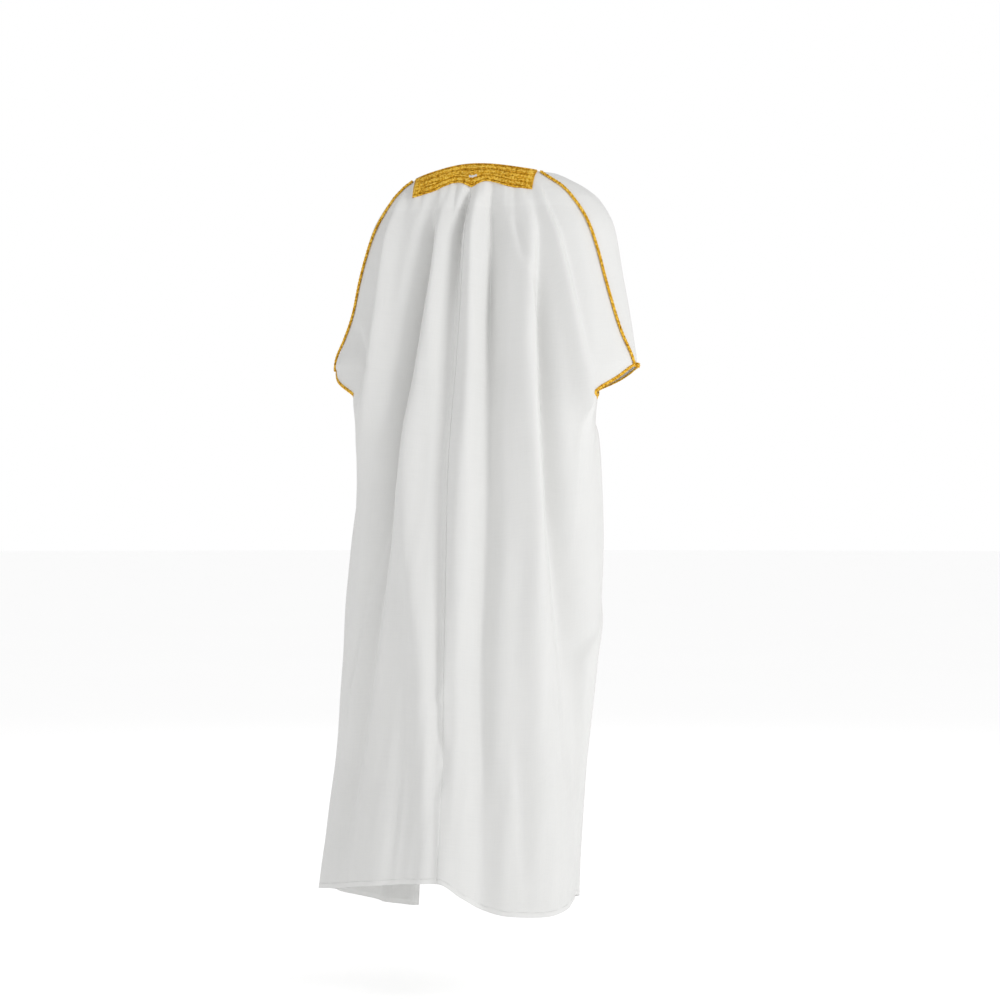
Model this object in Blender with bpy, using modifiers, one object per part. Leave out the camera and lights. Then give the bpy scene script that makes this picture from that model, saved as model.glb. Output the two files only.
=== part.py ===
"""A worn open-front robe: two back halves and two fronts cut in one with wide sleeves,
a couched gold yoke at the back neck, gold piping over the shoulders and arms, and a gold
braid round each sleeve opening.

The robe keeps the hollow form it takes on a standing wearer. Its origin is the point
between the shoulders where it is carried. +Z is up, the front faces -Y and the wearer's
left is +X. Every panel is a strip of one draped surface, which is worked out from the
section, fold and hem tables below.
"""

import math

import bmesh
import bpy
from mathutils import Vector

# ---------------------------------------------------------------- driving dimensions (m)

CLOTH_THICKNESS = 0.0016
SEAM_GAP = 0.0004
TRIM_THICKNESS = 0.0018
TRIM_CLEARANCE = 0.0010
YOKE_CLEARANCE = 0.0015
PIPING_RADIUS = 0.0027
BRAID_RADIUS = 0.0029

NECK_HALF_ANGLE = 62.0       # where the back neck ends and the overarm seam starts, degrees
NECK_RISE = 0.000            # the nape above the origin
NECK_DROP_RIGHT = 0.017      # how far the neckline falls from the nape to each end
NECK_DROP_LEFT = 0.026
CORNER_LEVEL = -0.376        # outer corner of each sleeve
PIT_LEVEL = -0.430           # back and front ends of each sleeve opening
FRONT_PIT_RISE = 0.014       # the front end lies this much higher than the back end
PIT_HALF_HEIGHT = 0.0090     # the opening is rounded off by this much at those ends
UNDERARM_LEVEL = -0.452      # top of each side seam
PIT_ANGLE = 25.0             # the opening spans this much either side of the side seam

YOKE_DEPTH_ENDS = 0.042
YOKE_DEPTH_SCALLOP = 0.037
YOKE_DEPTH_POINT = 0.051
YOKE_TAPER = 0.985            # how far its ends lean in below the neckline
YOKE_SLOPE = 0.90            # the upper back slopes, so its depth falls by a little less
YOKE_END_MARGIN = 2.0        # degrees left clear of each overarm seam
FACING_LEVEL = -0.084
FACING_THICKNESS = 0.0012
FACING_CLEARANCE = 0.0018
PIPING_CLEARANCE = 0.0013
PIPING_START = 0.004
PIPING_END = 0.004

# Cross sections of the draped cloth, from the neck to below the hem.
SECTION_COLUMNS = ("level", "right", "left", "back", "front", "square", "centre_x", "centre_y")
SECTIONS = (
    (0.002, 0.120, 0.112, 0.080, 0.062, 3.0, 0.000, 0.000),
    (-0.010, 0.133, 0.122, 0.087, 0.068, 2.9, 0.000, 0.000),
    (-0.023, 0.160, 0.137, 0.095, 0.074, 2.8, 0.000, 0.000),
    (-0.042, 0.194, 0.165, 0.103, 0.084, 2.6, 0.000, 0.000),
    (-0.065, 0.221, 0.187, 0.111, 0.094, 2.5, 0.000, 0.000),
    (-0.114, 0.248, 0.217, 0.123, 0.108, 2.4, 0.000, 0.000),
    (-0.162, 0.258, 0.232, 0.130, 0.117, 2.4, 0.000, 0.000),
    (-0.215, 0.266, 0.244, 0.135, 0.124, 2.4, 0.000, 0.000),
    (-0.268, 0.276, 0.254, 0.139, 0.129, 2.4, 0.000, 0.000),
    (-0.325, 0.286, 0.271, 0.142, 0.133, 2.4, 0.000, 0.000),
    (-0.376, 0.293, 0.291, 0.145, 0.137, 2.4, 0.000, 0.000),
    (-0.432, 0.286, 0.288, 0.148, 0.140, 2.4, 0.002, 0.004),
    (-0.505, 0.258, 0.262, 0.153, 0.143, 2.3, 0.006, 0.008),
    (-0.610, 0.246, 0.246, 0.158, 0.147, 2.3, 0.008, 0.010),
    (-0.840, 0.247, 0.249, 0.166, 0.150, 2.2, 0.018, 0.018),
    (-1.100, 0.243, 0.245, 0.180, 0.152, 2.2, 0.031, 0.030),
    (-1.420, 0.248, 0.256, 0.202, 0.158, 2.2, 0.050, 0.055),
)

FRONT_FLATNESS = 0.72        # the fronts' corners are this much rounder than the back's

# How far the side seam is drawn in under the arm, as a share of the half width.
TUCK_LEVELS = (-0.432, -0.505, -0.610, -0.840)
TUCK_SHARES = (0.30, 0.13, 0.05, 0.0)

# The overarm seam, as an angle from straight back, from the neck to the sleeve's corner.
SEAM_LEVELS = (0.010, -0.030, -0.110, -0.300, -0.376, -0.428)
SEAM_ANGLES = (62.0, 65.0, 71.0, 77.8, 83.6, 90.0)

# The centre back seam, as a distance to the wearer's left, and the two front edges.
CENTRE_LEVELS = (0.002, -0.135, -0.290, -0.450, -0.620, -1.350)
CENTRE_OFFSETS = (0.000, 0.005, 0.014, 0.022, 0.027, 0.022)
EDGE_LEVELS = (0.000, -0.020, -0.050, -0.090, -0.150, -0.300, -0.600, -1.000, -1.420)
EDGE_ANGLES_RIGHT = (96.0, 102.0, 118.0, 131.0, 141.0, 151.0, 158.0, 166.0, 172.0)
EDGE_ANGLES_LEFT = (96.0, 102.0, 118.0, 131.0, 141.0, 151.0, 156.0, 150.0, 141.0)

# The hem's level all round, from the right front edge over the back to the left one.
HEM_COLUMNS = ("angle", "level")
HEM = (
    (-180, -1.395),
    (-120, -1.385),
    (-90, -1.362),
    (-75, -1.374),
    (-55, -1.381),
    (-42, -1.378),
    (-30, -1.366),
    (-19, -1.343),
    (-7.5, -1.318),
    (30, -1.330),
    (60, -1.348),
    (90, -1.368),
    (130, -1.412),
    (180, -1.420),
)

# Folds down the back: distance to the wearer's left, height (a trough is below zero) and
# half width, all in millimetres, at each of these levels.
FOLD_LEVELS = (-0.03, -0.14, -0.30, -0.60, -0.95, -1.35)
FOLD_COLUMNS = ("name", "offset", "height", "half_width")
FOLDS = (
    ("left_yoke_crest", (132, 153, 170, 214, 214, 214), (7, 11, 11, 3, 0, 0), (9, 12, 15, 20, 20, 20)),
    ("left_long_trough", (76, 84, 113, 160, 200, 226), (0, -17, -30, -34, -20, -6), (14, 18, 24, 26, 26, 30)),
    ("left_back_roll", (52, 56, 70, 102, 64, 34), (2, 7, 9, 10, 11, 11), (18, 20, 24, 30, 34, 40)),
    ("seam_trough", (2, 23, 31, 44, 40, 30), (-8, -15, -12, -8, -6, -4), (9, 13, 17, 16, 13, 14)),
    ("centre_roll", (-14, -8, -8, 0, 6, -10), (5, 10, 10, 10, 6, 4), (12, 15, 17, 20, 24, 30)),
    ("centre_trough", (-40, -53, -50, -54, -46, -62), (-4, -16, -22, -20, -16, -14), (16, 20, 22, 25, 28, 34)),
    ("right_back_roll", (-96, -112, -109, -130, -135, -160), (3, 8, 10, 11, 11, 10), (22, 26, 24, 26, 26, 32)),
    ("right_trough", (-112, -134, -148, -165, -196, -214), (0, -5, -14, -18, -16, -10), (12, 14, 16, 20, 24, 28)),
    ("right_yoke_crest", (-121, -157, -190, -236, -236, -236), (8, 10, 10, 3, 0, 0), (9, 13, 16, 20, 20, 20)),
    ("right_hip_roll", (-226, -226, -226, -226, -226, -226), (0, 0, 2, 6, 4, 0), (18, 18, 18, 20, 20, 20)),
)

# Folds round the sides and fronts: angle from straight back at the chest and at the hem,
# height in millimetres at both, and half width in degrees.
SIDE_FOLD_COLUMNS = ("name", "chest_angle", "hem_angle", "chest_height", "hem_height", "half_width")
SIDE_FOLDS = (
    ("right_side_trough", -97, -92, 0, -13, 7),
    ("right_front_roll", -110, -106, 5, 13, 8),
    ("right_front_trough", -124, -123, -12, -19, 7),
    ("right_chest_roll", -137, -139, 7, 12, 7),
    ("right_edge_trough", -147, -155, -8, -14, 5),
    ("left_side_trough", 98, 93, 0, -12, 6),
    ("left_front_roll", 109, 104, 5, 12, 6),
    ("left_front_trough", 123, 114, -12, -18, 6),
    ("left_chest_roll", 137, 126, 8, 12, 6),
    ("left_edge_trough", 148, 136, -6, -9, 4),
)
FOLDS_HELD = -0.028           # the yoke holds the cloth flat down to here
FOLDS_FREE = -0.075
SIDE_FOLD_TOP = -0.10
SIDE_FOLD_CHEST = -0.30
SIDE_FOLD_HEM = -1.40

# Grid counts: columns from the centre back seam to the sleeve's back end, on to the
# overarm or side seam, and from the sleeve's front end to the front edge; rows above and
# below the sleeve opening.
BACK_COLUMNS = 12
ARM_COLUMNS = 4
FRONT_COLUMNS = 6
UPPER_ROWS = 11
LOWER_ROWS = 18
ROW_CROWDING = 1.7           # above 1, the rows crowd towards the shoulders

YOKE_COLUMNS = 24
YOKE_ROWS = 3
FACING_COLUMNS_RIGHT = 13
FACING_COLUMNS_LEFT = 10
FACING_ROWS = 4
PIPING_POINTS = 18

MILLIMETRE = 0.001
RIGHT, LEFT = -1, 1


# ---------------------------------------------------------------- the draped surface


def along(stations, values, at):
    """The value at a station, on a smooth curve that never overshoots its rows."""
    if stations[0] > stations[-1]:
        stations = stations[::-1]
        values = values[::-1]
    if at <= stations[0]:
        return values[0]
    if at >= stations[-1]:
        return values[-1]
    slopes = [
        (values[i + 1] - values[i]) / (stations[i + 1] - stations[i])
        for i in range(len(stations) - 1)
    ]
    i = max(k for k in range(len(slopes)) if stations[k] <= at)

    def tangent(k):
        if k == 0 or k == len(slopes) or slopes[k - 1] * slopes[k] <= 0:
            return 0.0
        return 2 * slopes[k - 1] * slopes[k] / (slopes[k - 1] + slopes[k])

    span = stations[i + 1] - stations[i]
    t = (at - stations[i]) / span
    return (
        (2 * t**3 - 3 * t**2 + 1) * values[i]
        + (t**3 - 2 * t**2 + t) * span * tangent(i)
        + (3 * t**2 - 2 * t**3) * values[i + 1]
        + (t**3 - t**2) * span * tangent(i + 1)
    )


def smooth_step(low, high, at):
    t = min(max((at - low) / (high - low), 0.0), 1.0)
    return t * t * (3 - 2 * t)


def bell(distance, half_width):
    return math.exp(-((distance / half_width) ** 2))


def section(level):
    """The named sizes of the cross section at a level."""
    levels = [row[0] for row in SECTIONS]
    return {
        name: along(levels, [row[k] for row in SECTIONS], level)
        for k, name in enumerate(SECTION_COLUMNS)
    }


def tuck(angle, level):
    """The share of its half width by which the side is drawn in below the sleeve."""
    from_side = abs(abs(angle) - 90.0)
    if from_side >= PIT_ANGLE:
        return 0.0
    return along(TUCK_LEVELS, TUCK_SHARES, level) * math.cos(math.pi / 2 * from_side / PIT_ANGLE)


def back_folds(x, level):
    total = 0.0
    for _, offsets, heights, half_widths in FOLDS:
        offset = along(FOLD_LEVELS, offsets, level) * MILLIMETRE
        height = along(FOLD_LEVELS, heights, level) * MILLIMETRE
        half_width = along(FOLD_LEVELS, half_widths, level) * MILLIMETRE
        total += height * bell(x - offset, half_width)
    return total


def side_folds(angle, level):
    total = 0.0
    for _, chest_angle, hem_angle, chest_height, hem_height, half_width in SIDE_FOLDS:
        share = (SIDE_FOLD_CHEST - level) / (SIDE_FOLD_CHEST - SIDE_FOLD_HEM)
        centre = chest_angle + (hem_angle - chest_angle) * max(share, 0.0)
        height = chest_height + (hem_height - chest_height) * smooth_step(0.0, 1.0, share)
        fade = smooth_step(SIDE_FOLD_TOP, SIDE_FOLD_CHEST, level) if level > SIDE_FOLD_CHEST else 1.0
        total += height * MILLIMETRE * fade * bell(angle - centre, half_width)
    return total


def robe_point(angle, level, below_sleeve):
    """A point of the draped cloth. The angle is in degrees from straight back, positive
    towards the wearer's left."""
    size = section(level)
    turn = math.radians(angle)
    across, towards_back = math.sin(turn), math.cos(turn)
    half_width = size["left"] if across > 0 else size["right"]
    depth = size["back"] if towards_back > 0 else size["front"]
    power = size["square"] * (1.0 if towards_back > 0 else FRONT_FLATNESS)
    radius = (
        (abs(across) / half_width) ** power + (abs(towards_back) / depth) ** power
    ) ** (-1 / power)
    if below_sleeve:
        radius *= 1 - tuck(angle, level)
    x = radius * across
    on_back = 1 - smooth_step(72.0, 100.0, abs(angle))
    released = 1 - smooth_step(FOLDS_FREE, FOLDS_HELD, level)
    radius += back_folds(x + size["centre_x"], level) * on_back * released
    radius += side_folds(angle, level)
    return Vector(
        (
            size["centre_x"] + radius * across,
            size["centre_y"] + radius * towards_back,
            level,
        )
    )


def neck_level(angle):
    drop = NECK_DROP_LEFT if angle > 0 else NECK_DROP_RIGHT
    share = min(abs(angle) / NECK_HALF_ANGLE, 1.0)
    return NECK_RISE - drop * share**2


def hem_level(angle):
    return along([row[0] for row in HEM], [row[1] for row in HEM], angle)


def centre_angle(level):
    """The centre back seam's angle at a level."""
    size = section(level)
    offset = along(CENTRE_LEVELS, CENTRE_OFFSETS, level) - size["centre_x"]
    return math.degrees(math.atan2(offset, size["back"]))


def seam_angle(level):
    """The overarm seam's angle at a level; below the sleeve it is the side seam."""
    return along(SEAM_LEVELS, SEAM_ANGLES, level)


def edge_angle(side, level):
    angles = EDGE_ANGLES_LEFT if side == LEFT else EDGE_ANGLES_RIGHT
    return along(EDGE_LEVELS, angles, level)


def pit_angle(level):
    """Where the back end of the sleeve opening would meet a level."""
    return seam_angle(level) * (90.0 - PIT_ANGLE) / 90.0


def opening_share(angle):
    """0 at an end of the sleeve opening, 1 over the side seam."""
    return max(0.0, 1 - abs(abs(angle) - 90.0) / PIT_ANGLE)


def pit_level(angle):
    return PIT_LEVEL + FRONT_PIT_RISE * (abs(angle) > 90.0)


def opening_top(angle):
    """The upper rim's level: straight at the back and rounder at the front."""
    pit = pit_level(angle) + PIT_HALF_HEIGHT
    share = opening_share(angle)
    if abs(angle) > 90.0:
        share = 1 - (1 - share) ** 2
    return pit + (CORNER_LEVEL - pit) * share


def opening_bottom(angle):
    pit = pit_level(angle) - PIT_HALF_HEIGHT
    return pit + (UNDERARM_LEVEL - pit) * opening_share(angle)


def surface_normal(angle, level, below_sleeve):
    """The outward direction of the cloth at a point."""
    step_angle, step_level = 0.5, 0.002
    across = robe_point(angle + step_angle, level, below_sleeve) - robe_point(
        angle - step_angle, level, below_sleeve
    )
    down = robe_point(angle, level - step_level, below_sleeve) - robe_point(
        angle, level + step_level, below_sleeve
    )
    return across.cross(down).normalized()


# ---------------------------------------------------------------- building helpers


def material(name, colour, roughness, metallic=0.0):
    made = bpy.data.materials.new(name)
    made.use_nodes = True
    shader = made.node_tree.nodes["Principled BSDF"]
    shader.inputs["Base Color"].default_value = (*colour, 1.0)
    shader.inputs["Roughness"].default_value = roughness
    shader.inputs["Metallic"].default_value = metallic
    return made


def place(obj, collection, finish):
    collection.objects.link(obj)
    obj.data.materials.append(finish)


def cloth_object(name, points, faces, thickness, finish, collection):
    """An open sheet made a wall by Solidify, with its middle on the given points."""
    mesh = bpy.data.meshes.new(name)
    sheet = bmesh.new()
    vertices = [sheet.verts.new(point) for point in points]
    for face in faces:
        sheet.faces.new([vertices[k] for k in face])
    sheet.to_mesh(mesh)
    sheet.free()
    mesh.shade_smooth()
    obj = bpy.data.objects.new(name, mesh)
    place(obj, collection, finish)
    wall = obj.modifiers.new("Wall", "SOLIDIFY")
    wall.thickness = thickness
    wall.offset = 0.0
    return obj


def cord_object(name, points, radius, closed, finish, collection):
    """A round cord through the given points."""
    curve = bpy.data.curves.new(name, "CURVE")
    curve.dimensions = "3D"
    curve.bevel_depth = radius
    curve.bevel_resolution = 1
    curve.use_fill_caps = not closed
    spline = curve.splines.new("POLY")
    spline.points.add(len(points) - 1)
    for target, point in zip(spline.points, points):
        target.co = (*point, 1.0)
    spline.use_cyclic_u = closed
    obj = bpy.data.objects.new(name, curve)
    place(obj, collection, finish)
    return obj


# ---------------------------------------------------------------- the panels


def panel_grid(column_angle, column_slit):
    """Points and faces of one panel. column_angle(k, level) gives column k's angle, and
    column_slit[k] says whether the sleeve opening parts that column."""
    points, faces, index = [], [], {}
    rows_above = range(UPPER_ROWS + 1)
    rows_below = range(LOWER_ROWS + 1)

    def add(key, angle, level, below):
        index[key] = len(points)
        points.append(robe_point(angle, level, below))

    for k in range(len(column_slit)):
        rim_angle = column_angle(k, PIT_LEVEL)
        top = neck_level(column_angle(k, NECK_RISE))
        opening = opening_top(rim_angle)
        for row in rows_above:
            level = top + (opening - top) * (row / UPPER_ROWS) ** ROW_CROWDING
            add((k, "above", row), column_angle(k, level), level, False)
        opening = opening_bottom(rim_angle)
        hem = hem_level(column_angle(k, hem_level(0.0)))
        for row in rows_below:
            level = opening + (hem - opening) * row / LOWER_ROWS
            add((k, "below", row), column_angle(k, level), level, True)
    for k in range(len(column_slit) - 1):
        for part, rows in (("above", UPPER_ROWS), ("below", LOWER_ROWS)):
            for row in range(rows):
                faces.append([index[i] for i in (
                    (k, part, row), (k, part, row + 1), (k + 1, part, row + 1), (k + 1, part, row)
                )])
        if not (column_slit[k] or column_slit[k + 1]):
            faces.append([index[i] for i in (
                (k, "above", UPPER_ROWS), (k, "below", 0),
                (k + 1, "below", 0), (k + 1, "above", UPPER_ROWS),
            )])
    return points, faces


def seam_shift(level):
    """Half a seam's gap, as an angle in degrees."""
    return math.degrees(SEAM_GAP / 2 / section(level)["back"])


def back_column_angle(side, k, level):
    """Column k of a back half, counted from the centre back seam to the overarm seam."""
    start = side * centre_angle(level) + seam_shift(level)
    pit = pit_angle(level)
    if k <= BACK_COLUMNS:
        return side * (start + (pit - start) * k / BACK_COLUMNS)
    end = seam_angle(level) - seam_shift(level)
    return side * (pit + (end - pit) * (k - BACK_COLUMNS) / ARM_COLUMNS)


def front_column_angle(side, k, level):
    """Column k of a front, counted from the overarm seam to the front edge."""
    start = seam_angle(level) + seam_shift(level)
    end = edge_angle(side, level)
    pit = start + min(PIT_ANGLE, (end - start) / 2)
    if k <= ARM_COLUMNS:
        return side * (start + (pit - start) * k / ARM_COLUMNS)
    return side * (pit + (end - pit) * (k - ARM_COLUMNS) / FRONT_COLUMNS)


def upper_row_level(top, opening, row):
    return top + (opening - top) * (row / UPPER_ROWS) ** ROW_CROWDING


def back_half(side, finish, collection):
    """One half of the back, with the back half of its sleeve, from the centre back seam."""
    slit = [k > BACK_COLUMNS for k in range(BACK_COLUMNS + ARM_COLUMNS + 1)]
    points, faces = panel_grid(lambda k, level: back_column_angle(side, k, level), slit)
    if side == RIGHT:
        faces = [face[::-1] for face in faces]
    name = "back_left" if side == LEFT else "back_right"
    cloth_object(name, points, faces, CLOTH_THICKNESS, finish, collection)


def front(side, finish, collection):
    """One front, with the front half of its sleeve, as far as its plain front edge."""
    slit = [k < ARM_COLUMNS for k in range(ARM_COLUMNS + FRONT_COLUMNS + 1)]
    points, faces = panel_grid(lambda k, level: front_column_angle(side, k, level), slit)
    if side == RIGHT:
        faces = [face[::-1] for face in faces]
    name = "front_left" if side == LEFT else "front_right"
    cloth_object(name, points, faces, CLOTH_THICKNESS, finish, collection)


def raised(angle, level, distance):
    """A point above the sleeve opening, moved out of the cloth by a distance."""
    return robe_point(angle, level, False) + surface_normal(angle, level, False) * distance


def sheet_faces(columns, rows):
    return [
        (
            c * (rows + 1) + r,
            c * (rows + 1) + r + 1,
            (c + 1) * (rows + 1) + r + 1,
            (c + 1) * (rows + 1) + r,
        )
        for c in range(columns)
        for r in range(rows)
    ]


def yoke_depth(share):
    """The yoke's depth at a share of its half width: deep ends, a shallow scallop and a
    point at the centre."""
    scallop = math.sin(math.pi * min(share / 0.78, 1.0)) ** 1.5
    base = YOKE_DEPTH_POINT + (YOKE_DEPTH_ENDS - YOKE_DEPTH_POINT) * share
    return base - (base - YOKE_DEPTH_SCALLOP) * scallop


def neck_yoke(finish, collection):
    """The couched gold panel along the back neck, laid on both back halves."""
    out = CLOTH_THICKNESS / 2 + YOKE_CLEARANCE + TRIM_THICKNESS / 2
    points = []
    for column in range(YOKE_COLUMNS + 1):
        share = 2 * column / YOKE_COLUMNS - 1
        top_angle = share * (NECK_HALF_ANGLE - YOKE_END_MARGIN)
        top = neck_level(top_angle)
        target_x = robe_point(top_angle, top, False).x * YOKE_TAPER
        for row in range(YOKE_ROWS + 1):
            drop = yoke_depth(abs(share)) * row / YOKE_ROWS
            level = top - drop * YOKE_SLOPE
            angle = angle_at_x(target_x, level, top_angle) if row else top_angle
            points.append(raised(angle, level, out))
    cloth_object("neck_yoke", points, sheet_faces(YOKE_COLUMNS, YOKE_ROWS), TRIM_THICKNESS, finish, collection)


def angle_at_x(x, level, guess):
    """The angle at which the cloth passes a distance to the wearer's left."""
    angle = guess
    for _ in range(12):
        miss = robe_point(angle, level, False).x - x
        slope = (robe_point(angle + 0.5, level, False).x - robe_point(angle - 0.5, level, False).x)
        angle -= miss / slope
    return angle


def neck_facing(finish, collection):
    """The self-fabric facing inside the back neck, made from the back halves' own rows."""
    inward = -(CLOTH_THICKNESS / 2 + FACING_CLEARANCE + FACING_THICKNESS / 2)
    places = [(RIGHT, k) for k in range(FACING_COLUMNS_RIGHT, -1, -1)]
    places += [(LEFT, k) for k in range(1, FACING_COLUMNS_LEFT + 1)]
    points = []
    for side, k in places:
        top = neck_level(back_column_angle(side, k, NECK_RISE))
        levels = [upper_row_level(top, PIT_LEVEL + PIT_HALF_HEIGHT, row) for row in range(FACING_ROWS + 2)]
        column = [raised(back_column_angle(side, k, level), level, inward) for level in levels]
        share = (levels[-2] - FACING_LEVEL) / (levels[-2] - levels[-1])
        column[-1] = column[-2].lerp(column[-1], share)
        points.extend(column)
    faces = sheet_faces(len(places) - 1, FACING_ROWS + 1)
    cloth_object("neck_facing", points, faces, FACING_THICKNESS, finish, collection)


def shoulder_piping(side, finish, collection):
    """The gold cord along the overarm seam, from the yoke's end to the sleeve's corner."""
    out = CLOTH_THICKNESS / 2 + PIPING_CLEARANCE + PIPING_RADIUS
    top = neck_level(side * NECK_HALF_ANGLE) - PIPING_START
    bottom = CORNER_LEVEL + PIPING_END
    points = []
    for row in range(PIPING_POINTS + 1):
        level = top + (bottom - top) * (row / PIPING_POINTS) ** ROW_CROWDING
        points.append(raised(side * seam_angle(level), level, out))
    name = "piping_left" if side == LEFT else "piping_right"
    cord_object(name, points, PIPING_RADIUS, False, finish, collection)


def opening_rim(side, below):
    """The rim of the sleeve opening, from its back end to its front end."""
    opening = opening_bottom if below else opening_top
    columns = [(back_column_angle, BACK_COLUMNS + k) for k in range(ARM_COLUMNS)]
    columns += [(front_column_angle, k) for k in range(ARM_COLUMNS + 1)]
    points = []
    for column_angle, k in columns:
        level = opening(column_angle(side, k, PIT_LEVEL))
        points.append(robe_point(column_angle(side, k, level), level, below))
    return points


def sleeve_braid(side, finish, collection):
    """The gold braid that binds the sleeve opening, lying just inside its rim all round."""
    top, bottom = opening_rim(side, False), opening_rim(side, True)
    rim = top[1:-1] + bottom[1:-1][::-1]
    centre = sum(rim, Vector()) / len(rim)
    count = len(rim)
    points = []
    for k in range(count):
        before, after = rim[k - 1], rim[(k + 1) % count]
        first, second = (rim[k] - before).normalized(), (after - rim[k]).normalized()
        tangent = (first + second).normalized()
        is_top = k < len(top) - 2
        inward = Vector((0, 0, -1 if is_top else 1))
        inward = (inward - tangent * inward.dot(tangent)).normalized()
        mitre = max(first.dot(tangent), 0.6)
        points.append(rim[k] + inward * (BRAID_RADIUS + TRIM_CLEARANCE) / mitre)
    ends = []
    for end_point, join in ((top[0], bottom[0]), (top[-1], bottom[-1])):
        middle = (end_point + join) / 2
        toward = centre - middle
        toward.z = 0
        ends.append(middle + toward.normalized() * (BRAID_RADIUS + TRIM_CLEARANCE))
    half = len(top) - 2
    points = points[:half] + [ends[1]] + points[half:] + [ends[0]]
    name = "braid_left" if side == LEFT else "braid_right"
    cord_object(name, points, BRAID_RADIUS, True, finish, collection)


def main():
    for obj in list(bpy.data.objects):
        bpy.data.objects.remove(obj, do_unlink=True)
    collection = bpy.data.collections.new("open_robe")
    bpy.context.scene.collection.children.link(collection)
    cloth = material("white_cloth", (0.86, 0.86, 0.84), 0.80)
    gold = material("gold_braid", (0.62, 0.36, 0.05), 0.42, 0.35)
    for side in (RIGHT, LEFT):
        back_half(side, cloth, collection)
        front(side, cloth, collection)
        shoulder_piping(side, gold, collection)
        sleeve_braid(side, gold, collection)
    neck_yoke(gold, collection)
    neck_facing(cloth, collection)


if __name__ == "__main__":
    main()
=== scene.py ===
"""The looks of a worn open-front robe, laid out as an add-on: white cloth panels hung in
folds, a couched gold yoke at the back neck, gold piping over the shoulders and arms, a
plaited gold braid round each sleeve opening, hems and stitching, and a plain studio."""

import math

import bpy
import numpy as np
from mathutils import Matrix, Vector


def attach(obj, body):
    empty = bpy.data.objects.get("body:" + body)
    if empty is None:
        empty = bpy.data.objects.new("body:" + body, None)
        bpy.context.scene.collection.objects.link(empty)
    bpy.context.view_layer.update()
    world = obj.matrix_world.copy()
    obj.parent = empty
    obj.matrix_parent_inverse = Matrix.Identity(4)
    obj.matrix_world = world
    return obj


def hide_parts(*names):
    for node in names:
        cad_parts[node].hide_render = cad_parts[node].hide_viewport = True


bl_info = {
    "name": "Open robe",
    "version": (1, 0, 0),
    "blender": (4, 5, 0),
    "location": "3D View > Sidebar > Robe",
    "description": "Models the cloth, gold trims and stitching of an open-front robe",
    "category": "Object",
}

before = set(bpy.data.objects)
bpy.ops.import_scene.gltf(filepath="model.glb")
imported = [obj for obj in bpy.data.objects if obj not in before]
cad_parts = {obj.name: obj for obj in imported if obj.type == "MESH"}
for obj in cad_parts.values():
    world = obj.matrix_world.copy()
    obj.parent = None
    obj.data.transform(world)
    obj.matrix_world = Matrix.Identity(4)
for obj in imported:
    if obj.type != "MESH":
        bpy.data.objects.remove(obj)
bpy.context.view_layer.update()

# ---------------------------------------------------------------- the robe's form (m)

NECK_HALF_ANGLE = 62.0       # where the back neck ends and the overarm seam starts, degrees
NECK_RISE = 0.0              # the nape above the origin
NECK_DROP_RIGHT = 0.017      # how far the neckline falls from the nape to each end
NECK_DROP_LEFT = 0.026
CORNER_LEVEL = -0.376        # outer corner of each sleeve
PIT_LEVEL = -0.430           # back and front ends of each sleeve opening
FRONT_PIT_RISE = 0.014       # the front end lies this much higher than the back end
PIT_HALF_HEIGHT = 0.0018     # the opening is rounded off by this much at those ends
UNDERARM_LEVEL = -0.452      # top of each side seam
PIT_ANGLE = 25.0             # the opening spans this much either side of the side seam

YOKE_DEPTH_ENDS = 0.042
YOKE_DEPTH_SCALLOP = 0.037
YOKE_DEPTH_POINT = 0.051
YOKE_TAPER = 0.985
YOKE_SLOPE = 0.90
YOKE_END_MARGIN = 2.0
YOKE_HOLDS = (-0.052, -0.044)   # above here the yoke presses the seam and hems flat
FACING_LEVEL = -0.084

# Cross sections of the draped cloth, from the neck to below the hem.
SECTION_COLUMNS = ("level", "right", "left", "back", "front", "square", "centre_x", "centre_y")
SECTIONS = (
    (0.002, 0.120, 0.112, 0.080, 0.062, 3.0, 0.000, 0.000),
    (-0.010, 0.133, 0.122, 0.087, 0.068, 2.9, 0.000, 0.000),
    (-0.023, 0.160, 0.137, 0.095, 0.074, 2.8, 0.000, 0.000),
    (-0.042, 0.194, 0.165, 0.103, 0.084, 2.6, 0.000, 0.000),
    (-0.065, 0.221, 0.187, 0.111, 0.094, 2.5, 0.000, 0.000),
    (-0.114, 0.248, 0.217, 0.123, 0.108, 2.4, 0.000, 0.000),
    (-0.162, 0.258, 0.232, 0.130, 0.117, 2.4, 0.000, 0.000),
    (-0.215, 0.266, 0.244, 0.135, 0.124, 2.4, 0.000, 0.000),
    (-0.268, 0.276, 0.254, 0.139, 0.129, 2.4, 0.000, 0.000),
    (-0.325, 0.286, 0.271, 0.142, 0.133, 2.4, 0.000, 0.000),
    (-0.376, 0.293, 0.291, 0.145, 0.137, 2.4, 0.000, 0.000),
    (-0.432, 0.286, 0.288, 0.148, 0.140, 2.4, 0.002, 0.004),
    (-0.505, 0.258, 0.262, 0.153, 0.143, 2.3, 0.006, 0.008),
    (-0.610, 0.246, 0.246, 0.158, 0.147, 2.3, 0.008, 0.010),
    (-0.840, 0.247, 0.249, 0.166, 0.150, 2.2, 0.018, 0.018),
    (-1.100, 0.243, 0.245, 0.180, 0.152, 2.2, 0.031, 0.030),
    (-1.420, 0.248, 0.256, 0.202, 0.158, 2.2, 0.050, 0.055),
)
FRONT_FLATNESS = 0.72        # the fronts' corners are this much rounder than the back's

# How far the side seam is drawn in under the arm, as a share of the half width.
TUCK_LEVELS = (-0.432, -0.505, -0.610, -0.840)
TUCK_SHARES = (0.30, 0.13, 0.05, 0.0)

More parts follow.
